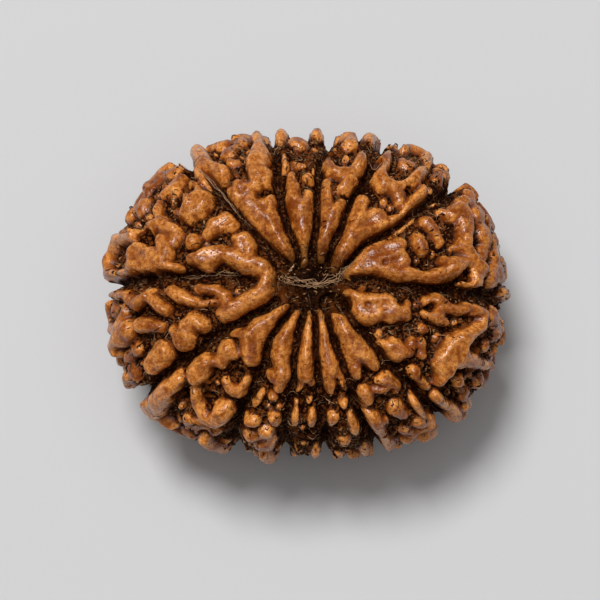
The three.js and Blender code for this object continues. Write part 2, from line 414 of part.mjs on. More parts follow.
// The furrows: the traced part of each, then on under the seed to the lower pole, where they are evener.
function makeFurrows(draw) {
  return FURROWS.map((traced, index) => {
    const directions = traced.map(([x, y]) => placeInView(x, y, 0));
    const rim = directions.at(-1);
    const bearing = THREE.MathUtils.radToDeg(Math.atan2(rim.y, rim.x));
    const even = (360 * index) / FURROWS.length;
    const off = THREE.MathUtils.euclideanModulo(even - bearing + 180, 360) - 180;
    const places = directions.map((direction, n) => {
      const outwards = n / (directions.length - 1);
      return { direction, halfWidth: THREE.MathUtils.lerp(FURROW.nearPole, FURROW.atRim, outwards) };
    });
    for (let down = LOWER_FURROW.from; down <= LOWER_FURROW.to; down += LOWER_FURROW.step) {
      const done = (down - LOWER_FURROW.from) / (LOWER_FURROW.to - LOWER_FURROW.from);
      const sway = LOWER_FURROW.sway * (draw() - 0.5);
      const direction = placeByAngles(bearing + LOWER_FURROW.evening * done * off + sway, down);
      const halfWidth = THREE.MathUtils.lerp(FURROW.below, FURROW.nearPole, done ** 3);
      places.push({ direction, halfWidth });
    }
    return makeLine(FURROW.depth, places);
  });
}

// The bearing of a furrow's line at an angle down from the upper pole.
function bearingAt(furrow, down) {
  const level = Math.cos(THREE.MathUtils.degToRad(down)) * BED.z;
  const point = furrow.points.reduce((a, b) => (Math.abs(a.z - level) < Math.abs(b.z - level) ? a : b));
  return THREE.MathUtils.radToDeg(Math.atan2(point.y / BED.y, point.x / BED.x));
}

// Petals round the lower pole, one between each two furrows, or two that part from one root in a wide lobe.
function makePetals(furrows) {
  return furrows.flatMap((furrow, index) => {
    const start = bearingAt(furrow, PETAL.broad);
    const end = bearingAt(furrows[(index + 1) % furrows.length], PETAL.broad);
    const turn = THREE.MathUtils.euclideanModulo(end - start, 360);
    const across = THREE.MathUtils.degToRad(turn) * Math.sin(THREE.MathUtils.degToRad(PETAL.broad)) * BED.y;
    const shares = turn > PETAL.wide ? [0.3, 0.7] : [0.5];
    const halfWidth = (PETAL.share * across) / shares.length;
    return shares.map((share) => makeLine(PETAL.height, [
      { direction: placeByAngles(start + turn / 2, PETAL.root), halfWidth: PETAL.rootHalfWidth },
      { direction: placeByAngles(start + turn * share, PETAL.broad), halfWidth },
      { direction: placeByAngles(start + turn * share, PETAL.tip), halfWidth: 0.8 * halfWidth },
    ]));
  });
}

// Whether a place of some half-width is clear of a set of lines by a gap.
function isClear(point, halfWidth, lines, gap) {
  return lines.every((line) => {
    if (point.distanceTo(line.ball.center) > line.ball.radius + halfWidth + gap) {
      return true;
    }
    const near = nearest(line, point);
    return near.distance > near.halfWidth + halfWidth + gap;
  });
}

// Crooked ribs down the side, side by side between each two furrows. Each is broken at drawn places, and a
// stretch that would run into what stands there is left out.
function makeRibs(furrows, lines, draw) {
  const between = (low, high) => THREE.MathUtils.lerp(low, high, draw());
  return furrows.flatMap((furrow, index) => {
    const next = furrows[(index + 1) % furrows.length];
    const turnAt = (down) => (
      THREE.MathUtils.euclideanModulo(bearingAt(next, down) - bearingAt(furrow, down), 360)
    );
    const across = (THREE.MathUtils.degToRad(turnAt(RIBS.level)) * (BED.x + BED.y)) / 2;
    const count = Math.max(Math.round(across / RIBS.apart), 1);
    const ribs = [];
    for (let rib = 0; rib < count; rib += 1) {
      let down = RIBS.from + RIBS.short * draw();
      while (down < RIBS.to) {
        const start = down;
        const length = between(RIBS.short, RIBS.long);
        const places = Array.from({ length: RIBS.parts }, (_, part) => {
          const reached = start + (length * part) / (RIBS.parts - 1);
          const share = (rib + 0.5 + RIBS.sway * between(-1, 1)) / count;
          const direction = placeByAngles(bearingAt(furrow, reached) + turnAt(reached) * share, reached);
          return { direction, halfWidth: between(RIBS.thin, RIBS.thick) };
        });
        const height = between(RIBS.low, RIBS.high);
        const isFree = ({ direction, halfWidth }) => isClear(bedPoint(direction), halfWidth, lines, RIBS.gap);
        if (places.every(isFree)) {
          ribs.push(makeLine(height, places));
        }
        down += length + RIBS.break;
      }
    }
    return ribs;
  });
}

// Knobs set by a draw, evenly thick over a zone, clear of all that stands there.
function drawKnobs(rule, lines, draw) {
  const knobs = [];
  const [top, bottom] = [rule.from, rule.to].map((down) => Math.cos(THREE.MathUtils.degToRad(down)));
  for (let n = 0; n < rule.tries; n += 1) {
    const down = THREE.MathUtils.radToDeg(Math.acos(THREE.MathUtils.lerp(top, bottom, draw())));
    const direction = placeByAngles(360 * draw(), down);
    const halfWidth = THREE.MathUtils.lerp(rule.thin, rule.thick, draw());
    const height = THREE.MathUtils.lerp(rule.low, rule.high, draw());
    if (isClear(bedPoint(direction), halfWidth, [...lines, ...knobs], rule.gap)) {
      knobs.push({ ...makeLine(height, [{ direction, halfWidth }]), direction, halfWidth });
    }
  }
  return knobs;
}

// Crooked ridges that join some knobs to their neighbours in the same lobe.
function linkKnobs(knobs, furrows, draw) {
  const links = [];
  const counts = knobs.map(() => 0);
  knobs.forEach((a, i) => {
    knobs.slice(i + 1).forEach((b, offset) => {
      const j = i + 1 + offset;
      const far = a.points[0].distanceTo(b.points[0]) > LINKS.reach;
      if (far || Math.max(counts[i], counts[j]) >= LINKS.most) {
        return;
      }
      const bend = new THREE.Vector3(draw() - 0.5, draw() - 0.5, draw() - 0.5).multiplyScalar(LINKS.bend);
      const middle = a.direction.clone().add(b.direction).normalize().add(bend).normalize();
      const neck = LINKS.neck * Math.min(a.halfWidth, b.halfWidth);
      if (draw() < LINKS.chance && isClear(bedPoint(middle), neck, furrows, 0)) {
        counts[i] += 1;
        counts[j] += 1;
        links.push(makeLine(Math.min(a.height, b.height), [a, { direction: middle, halfWidth: neck }, b]));
      }
    });
  });
  return links;
}

const draw = makeDraw(SEED);
const furrows = makeFurrows(draw);
const traced = Object.values(LOBES).flat().map(([height, ...places]) => makeLine(
  height,
  places.map(([x, y, halfWidth, z]) => (
    { direction: placeInView(x, y, height + LOBE.height, z), halfWidth }
  )),
));
const pits = PITS.map(([x, y, halfWidth, depth, z]) => (
  makeLine(depth, [{ direction: placeInView(x, y, RELIEF, z), halfWidth }])
));
const petals = makePetals(furrows);
const ribs = makeRibs(furrows, [...furrows, ...traced, ...petals], draw);
const knobs = drawKnobs(KNOBS, [...furrows, ...traced, ...petals, ...ribs], draw);
const links = linkKnobs(knobs, furrows, draw);
const ridges = [...traced, ...petals, ...ribs, ...knobs, ...links];
pits.push(makeLine(STEM_HOLE.depth, [STEM_HOLE.from, STEM_HOLE.to].map(([x, y]) => (
  { direction: placeInView(x, y, 0), halfWidth: STEM_HOLE.halfWidth }
))));

// A ridge's cross-section, from 1 on its middle line to nothing at its foot.
function profile(share) {
  return (1 - Math.min(share / REACH, 1) ** 3) ** 2;
}

function lineHeight(line, point) {
  if (point.distanceToSquared(line.ball.center) > line.ball.radius ** 2) {
    return 0;
  }
  const { share, halfWidth } = nearest(line, point);
  const full = line.height * Math.min(halfWidth / BROAD, 1) ** SLIMNESS;
  return full * profile(share);
}

function deepest(lines, point) {
  return lines.reduce((most, line) => {
    if (point.distanceToSquared(line.ball.center) > line.ball.radius ** 2) {
      return most;
    }
    return Math.max(most, line.height * profile(nearest(line, point).share));
  }, 0);
}

// How far the surface stands over the bed: ridges joined by a power sum, on lobes that sink towards the
// furrows as a bell curve, less what furrows, pits and the hollows at the poles take away.
function relief(direction) {
  const onBed = bedPoint(direction);
  const point = onBed.clone();
  point.x += WANDER.size * noise(onBed, WANDER.length, 0);
  point.y += WANDER.size * noise(onBed, WANDER.length, 31);
  point.z += WANDER.size * noise(onBed, WANDER.length, 57);
  const sum = ridges.reduce((total, line) => total + lineHeight(line, point) ** JOINING, 0);
  const trench = deepest(furrows, point) / FURROW.depth;
  const swell = 1 + SWELL.share * noise(onBed, SWELL.length, 11);
  const ridge = sum ** (1 / JOINING) * swell * (1 - FURROW.cut * trench);
  const bare = 1 - Math.min(ridge / ROUGHNESS.ridge, 1);
  const rough = ROUGHNESS.size * bare * noise(onBed, ROUGHNESS.length, 83);
  const poleX = direction.z > 0 ? POLE_X : 0;
  const fromPole = Math.min(Math.hypot(point.x - poleX, point.y) / HOLLOW.radius, 1);
  const hollow = HOLLOW.depth * (1 - fromPole ** 2) ** 2;
  const apart = Math.min(...furrows.map((furrow) => nearest(furrow, point).distance));
  const lobe = LOBE.height * (1 - Math.exp(-((Math.min(apart, LOBE.reach) / LOBE.width) ** 2)));
  const sunk = FURROW.depth * trench + deepest(pits, point) + hollow;
  return Math.max(ridge + lobe + rough - sunk, DEEPEST);
}

function surfacePoint(direction) {
  return bedPoint(direction).addScaledVector(wayOut(direction), relief(direction));
}

// A queue that gives back its cheapest entry first. An entry is an array whose first number is its cost.
class CheapestFirst {
  entries = [];

  add(entry) {
    const { entries } = this;
    let place = entries.push(entry) - 1;
    while (place > 0) {
      const above = (place - 1) >> 1;
      if (entries[above][0] <= entry[0]) {
        break;
      }
      entries[place] = entries[above];
      place = above;
    }
    entries[place] = entry;
  }

  take() {
    const { entries } = this;
    const cheapest = entries[0];
    const last = entries.pop();
    let place = 0;
    while (2 * place + 1 < entries.length) {
      let below = 2 * place + 1;
      if (below + 1 < entries.length && entries[below + 1][0] < entries[below][0]) {
        below += 1;
      }
      if (entries[below][0] >= last[0]) {
        break;
      }
      entries[place] = entries[below];
      place = below;
    }
    if (entries.length > 0) {
      entries[place] = last;
    }
    return cheapest;
  }
}

// The sum of a point's squared distances to a set of planes, kept as the matrix and vector of its formula.
class PlaneSum {
  constructor() {
    this.terms = new Float64Array(10);
  }

  addPlane(normal, offset, weight) {
    const { x, y, z } = normal;
    const squares = [x * x, x * y, x * z, y * y, y * z, z * z];
    [...squares, x * offset, y * offset, z * offset, offset ** 2].forEach((term, n) => {
      this.terms[n] += weight * term;
    });
  }

  addSum(other) {
    other.terms.forEach((term, n) => {
      this.terms[n] += term;
    });
  }

  // The point with the smallest sum, or nothing where the planes don't settle one.
  lowest() {
    const [xx, xy, xz, yy, yz, zz, x1, y1, z1] = this.terms;
    const matrix = new THREE.Matrix3(xx, xy, xz, xy, yy, yz, xz, yz, zz);
    const size = xx + yy + zz;
    if (Math.abs(matrix.determinant()) < THINNING.vague * size ** 3) {
      return null;
    }
    return new THREE.Vector3(-x1, -y1, -z1).applyMatrix3(matrix.invert());
  }

  at({ x, y, z }) {
    const [xx, xy, xz, yy, yz, zz, x1, y1, z1, one] = this.terms;
    const square = xx * x * x + yy * y * y + zz * z * z + 2 * (xy * x * y + xz * x * z + yz * y * z);
    return square + 2 * (x1 * x + y1 * y + z1 * z) + one;
  }
}

// A closed surface of facets over the ball. A corner is its direction, its point, the facets round it and
// the sum of its planes.
class Surface {
  constructor(directions, points, index) {
    this.corners = points.map((point, n) => (
      { direction: directions[n], point, facets: new Set(), planes: new PlaneSum(), changes: 0 }
    ));
    this.count = index.count / 3;
    for (let n = 0; n < index.count; n += 3) {
      const facet = [0, 1, 2].map((side) => this.corners[index.getX(n + side)]);
      const normal = Surface.areaNormal(...facet);
      const area = normal.length();
      normal.divideScalar(area);
      facet.forEach((corner) => {
        corner.facets.add(facet);
        corner.planes.addPlane(normal, -normal.dot(facet[0].point), area);
      });
    }
  }

  static areaNormal(a, b, c) {
    const side = b.point.clone().sub(a.point);
    return side.cross(c.point.clone().sub(a.point)).multiplyScalar(0.5);
  }

  neighbours(corner) {
    const around = new Set([...corner.facets].flat());
    around.delete(corner);
    return around;
  }

  // The best place for two corners joined in one: where the sum of their planes is lowest, if that is near
  // them, or else at one of them or halfway.
  joined(a, b) {
    const planes = new PlaneSum();
    planes.addSum(a.planes);
    planes.addSum(b.planes);
    const length = a.point.distanceTo(b.point);
    const halfway = a.point.clone().lerp(b.point, 0.5);
    const lowest = planes.lowest();
    const near = lowest && lowest.distanceTo(halfway) < length;
    const choices = near ? [lowest] : [a.point, b.point, halfway];
    const sums = choices.map((choice) => planes.at(choice));
    const sum = Math.min(...sums);
    const point = choices[sums.indexOf(sum)];
    const along = point.clone().sub(a.point).dot(b.point.clone().sub(a.point)) / length ** 2;
    const direction = a.direction.clone().lerp(b.direction, THREE.MathUtils.clamp(along, 0, 1)).normalize();
    return { cost: sum + THINNING.evenness * length ** 2, point, direction, planes };
  }

  // Whether joining two corners keeps the surface closed and its facets' sides, and makes no sliver.
  canJoin(a, b, joined) {
    const around = this.neighbours(b);
    const shared = [...this.neighbours(a)].filter((corner) => around.has(corner));
    const kept = [...a.facets, ...b.facets].filter((facet) => !(facet.includes(a) && facet.includes(b)));
    return shared.length === 2 && kept.every((facet) => {
      const moved = facet.map((corner) => (corner === a || corner === b ? joined : corner));
      const before = Surface.areaNormal(...facet);
      const after = Surface.areaNormal(...moved);
      const area = after.length();
      const sides = moved.map((corner, side) => corner.point.distanceTo(moved[(side + 1) % 3].point));
      const [first, second, third] = moved.map((corner) => corner.direction);
      const facesOut = first.dot(second.clone().cross(third)) > 0;
      const turned = before.dot(after) < THINNING.turn * before.length() * area;
      return facesOut && !turned && (2 * area) / Math.max(...sides) > THINNING.slimmest;
    });
  }

  join(from, into, { point, direction, planes }) {
    from.facets.forEach((facet) => {
      if (facet.includes(into)) {
        facet.forEach((corner) => corner.facets.delete(facet));
        this.count -= 1;
      } else {
        facet[facet.indexOf(from)] = into;
        into.facets.add(facet);
      }
    });
    from.facets.clear();
    from.changes += 1;
    into.changes += 1;
    Object.assign(into, { point, direction, planes });
  }

  thinTo(count) {
    const queue = new CheapestFirst();
    const enqueue = (from, into) => {
      const joined = this.joined(from, into);
      queue.add([joined.cost, from, into, joined, from.changes, into.changes]);
    };
    this.corners.forEach((corner, place) => {
      corner.place = place;
    });
    this.corners.forEach((corner) => this.neighbours(corner).forEach((other) => {
      if (corner.place < other.place) {
        enqueue(corner, other);
      }
    }));
    while (this.count > count && queue.entries.length > 0) {
      const [, from, into, joined, fromChanges, intoChanges] = queue.take();
      const current = from.changes === fromChanges && into.changes === intoChanges;
      if (current && this.canJoin(from, into, joined)) {
        this.join(from, into, joined);
        this.neighbours(into).forEach((other) => enqueue(other, into));
      }
    }
  }

  toGeometry() {
    const corners = this.corners.filter((corner) => corner.facets.size > 0);
    const places = new Map(corners.map((corner, n) => [corner, n]));
    fitToSize(corners.map((corner) => corner.point));
    const facets = new Set(corners.flatMap((corner) => [...corner.facets]));
    const geometry = new THREE.BufferGeometry();
    const positions = corners.flatMap((corner) => corner.point.toArray());
    geometry.setAttribute("position", new THREE.Float32BufferAttribute(positions, 3));
    geometry.setIndex([...facets].flatMap((facet) => facet.map((corner) => places.get(corner))));
    geometry.computeVertexNormals();
    return geometry;
  }
}

// Fits points to the driving dimensions, stands them on the table and levels what nearly touches it.
function fitToSize(points) {
  const box = new THREE.Box3().setFromPoints(points);
  const middle = box.getCenter(new THREE.Vector3()).setZ(box.min.z);
  const fit = new THREE.Vector3(LENGTH, WIDTH, HEIGHT).divide(box.getSize(new THREE.Vector3()));
  points.forEach((point) => {
    point.sub(middle).multiply(fit);
    point.z = point.z < LEVELLING ? 0 : point.z;
  });
}

function makeSeedGeometry() {
  const ball = new THREE.IcosahedronGeometry(1, DETAIL);
  ball.deleteAttribute("normal");
  ball.deleteAttribute("uv");
  const { index, attributes: { position } } = mergeVertices(ball);
  const directions = Array.from({ length: position.count }, (_, n) => (
    new THREE.Vector3().fromBufferAttribute(position, n).normalize()
  ));
  const points = directions.map(surfacePoint);
  const table = Math.min(...points.map((point) => point.z)) + RESTING_CUT;
  points.forEach((point) => {
    point.z = Math.max(point.z, table);
  });
  const surface = new Surface(directions, points, index);
  surface.thinTo(FACETS);
  return surface.toGeometry();
}

const shell = new THREE.MeshStandardMaterial({ color: 0x95602f, roughness: 0.55, metalness: 0 });
const seed = new THREE.Mesh(makeSeedGeometry(), shell);
seed.name = "rudraksha_seed";

const group = new THREE.Group();
group.add(seed);

export default group;
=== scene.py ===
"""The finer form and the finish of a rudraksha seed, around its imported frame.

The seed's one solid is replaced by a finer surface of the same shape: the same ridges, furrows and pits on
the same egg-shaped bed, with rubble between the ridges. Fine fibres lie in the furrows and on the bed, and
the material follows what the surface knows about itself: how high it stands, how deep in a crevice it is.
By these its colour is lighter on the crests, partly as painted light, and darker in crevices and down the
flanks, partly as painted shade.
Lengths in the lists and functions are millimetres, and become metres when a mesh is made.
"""

import itertools
import math

import bpy
import numpy as np
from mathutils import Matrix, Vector


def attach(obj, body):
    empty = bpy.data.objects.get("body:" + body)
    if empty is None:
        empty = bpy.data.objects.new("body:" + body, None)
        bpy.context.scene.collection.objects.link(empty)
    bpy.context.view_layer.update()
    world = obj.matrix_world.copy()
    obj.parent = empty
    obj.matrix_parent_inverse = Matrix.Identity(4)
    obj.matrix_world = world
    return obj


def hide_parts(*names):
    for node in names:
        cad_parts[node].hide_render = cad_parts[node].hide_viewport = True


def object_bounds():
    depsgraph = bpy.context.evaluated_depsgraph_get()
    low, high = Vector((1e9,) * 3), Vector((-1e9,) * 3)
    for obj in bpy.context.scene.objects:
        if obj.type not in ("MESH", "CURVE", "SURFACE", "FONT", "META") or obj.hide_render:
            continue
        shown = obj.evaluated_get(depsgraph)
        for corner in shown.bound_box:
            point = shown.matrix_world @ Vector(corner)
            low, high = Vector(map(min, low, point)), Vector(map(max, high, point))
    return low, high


bl_info = {
    "name": "Rudraksha seed",
    "version": (1, 0, 0),
    "blender": (4, 5, 0),
    "location": "View3D > Sidebar > Seed",
    "description": "Builds the fine surface, the fibres and the stage of a rudraksha seed",
    "category": "Object",
}

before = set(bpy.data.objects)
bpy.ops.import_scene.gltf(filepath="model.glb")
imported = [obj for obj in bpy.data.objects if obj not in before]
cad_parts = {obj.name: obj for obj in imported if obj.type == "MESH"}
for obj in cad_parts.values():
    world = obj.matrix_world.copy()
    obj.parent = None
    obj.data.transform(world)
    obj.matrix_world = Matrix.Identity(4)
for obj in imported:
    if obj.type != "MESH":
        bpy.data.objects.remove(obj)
CAD_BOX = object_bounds()
MM = 0.001

# The seed over its ridges, and its bed: an egg with flattened ends, a little fuller at its four corners.
LENGTH, WIDTH, HEIGHT = [1000 * (high - low) for low, high in zip(*CAD_BOX)]
RELIEF = 1.7
RESTING_CUT = 0.5
BED = np.array([LENGTH, WIDTH, HEIGHT]) / 2 - RELIEF
FLATNESS = 2.6
FULLNESS = 0.03
CORNERS = 4

# The upper face is measured in a view that leans a little forward from straight down. Places in it are
# millimetres right and up from the hollow at the pole.
VIEW_ELEVATION = math.radians(82)
POLE_X = 0.55
POLE_Z = 7
RIM = 0.995
PLACING_PASSES = 12

RIDGE_HEIGHT = 1.6

# The hollows at the poles, the stem's hole in the upper one, and the furrows.
HOLLOW_DEPTH, HOLLOW_RADIUS = 1.6, 3.2
STEM_HOLE = [[1.05, -1.4], [2.45, -1.7]]
STEM_HOLE_HALF_WIDTH, STEM_HOLE_DEPTH = 0.55, 1.6
DEEPEST = -3
FURROW_DEPTH, FURROW_HALF_WIDTHS, FURROW_CUT = 0.4, (0.2, 0.3, 0.42), 0.8

# Between the furrows each lobe bulges as a whole.
LOBE_HEIGHT, LOBE_WIDTH, LOBE_REACH = 0.5, 0.6, 1.5

# A ridge's cross-section is a rounded body on a flared foot, whose reaches are in half-widths.
JOINING = 6
BODY_SHARE, BODY_REACH, BLUNTNESS, CREST = 0.78, 1.36, 3, 0.12
FOOT_REACH = 2.4
BROAD = 0.6
SLIMNESS = 0.4

# Every outline wanders a little, ridge tops swell and sink, and the bed between them is rough.
WANDER_SIZE, WANDER_LENGTH, WANDER_SHIFTS = 0.26, 2.2, (0, 31, 57)
FINE_WANDER_SIZE, FINE_WANDER_LENGTH, FINE_WANDER_SHIFTS = 0.1, 0.75, (200, 231, 257)
SWELL_SHARE, SWELL_LENGTH, SWELL_SHIFT = 0.1, 1.7, 11
ROUGH_RIDGE = 1.2
ROUGHNESS = ((0.3, 1.7, 71), (0.35, 0.9, 83), (0.26, 0.45, 97))
VEIN_SIZE, VEIN_LENGTH, VEIN_SHIFT, VEIN_SHARPNESS = 0.22, 1.1, 131, 4
DENTS = ((0.09, 1.1, 41), (0.055, 0.5, 47))

# Wide ridges are dished between raised rims: the depth, and the half-widths at which it starts and is full.
DISH_DEPTH, DISH_REACH, DISH_FROM, DISH_FULL = 0.42, 0.8, 0.45, 0.8

# Dimples and pores in the ridges, one at most in each cell of a lattice: the cells' size, the share that
# holds one, its radius and its depth.
DIMPLES = {"cell": 1.3, "share": 0.5, "radius": 0.42, "depth": 0.13, "shift": 300}
PORES = {"cell": 0.9, "share": 0.25, "radius": 0.22, "depth": 0.2, "shift": 400}

# Furrows of the upper face, from near the pole to the rim: [x, y] in the view.
FURROWS = [
    [[2.9, 0.3], [4.5, 0.3], [6.5, -0.2], [8.5, -0.4], [10.5, -0.4], [12.2, -0.7], [13.5, -1.2],
        [15.6, -2.2]],
    [[2.6, 1.5], [4.0, 2.7], [5.6, 3.9], [7.1, 4.8], [8.6, 5.6], [9.8, 6.5], [10.6, 7.2], [11.2, 8.0]],
    [[1.2, 2.2], [2.0, 3.8], [2.4, 5.0], [2.9, 6.2], [3.6, 7.1], [4.5, 8.3], [5.2, 10.0], [5.8, 11.0]],
    [[-0.1, 2.4], [0.1, 4.5], [0.1, 6.3], [0.4, 8.0], [0.7, 9.2], [1.1, 10.3], [1.2, 11.6]],
    [[-1.2, 1.9], [-1.7, 3.6], [-2.4, 5.6], [-2.9, 7.3], [-2.8, 8.6], [-3.3, 10.3], [-3.3, 11.6]],
    [[-2.0, 1.6], [-4.2, 3.6], [-5.6, 4.9], [-7.3, 6.9], [-9.2, 8.5], [-10.0, 9.3], [-10.8, 10.2]],
    [[-5.0, 0.6], [-7.0, 0.6], [-9.5, 0.6], [-12.0, 0.3], [-14.2, 0.1], [-16.4, -0.4]],
    [[-3.0, -1.4], [-4.6, -2.4], [-6.4, -3.5], [-8.4, -4.6], [-9.6, -5.6], [-11.0, -6.6], [-12.2, -7.7],
        [-14, -8.8]],
    [[-1.9, -1.6], [-2.9, -3.6], [-3.7, -5.2], [-4.2, -6.8], [-4.9, -8.2], [-5.8, -10], [-6.3, -11.8],
        [-6.6, -13.4]],
    [[-0.8, -1.8], [-1.3, -3.9], [-1.65, -6.0], [-1.6, -7.8], [-2.0, -9.4], [-2.2, -11.5], [-2.2, -13.4]],
    [[0.0, -1.6], [0.05, -4.0], [0.25, -6.5], [0.4, -8.5], [0.8, -10.3], [0.9, -12.0], [1.0, -13.8]],
    [[0.9, -2.1], [1.4, -4.2], [2.1, -5.8], [2.7, -7.3], [3.2, -9.2], [3.9, -10.6], [4.6, -12.1],
        [5.2, -13.6]],
    [[2.2, -1.4], [3.2, -2.8], [4.3, -4.0], [5.3, -5.3], [6.2, -6.7], [7.3, -7.6], [8.4, -8.6],
        [9.5, -9.5], [11, -11]],
]

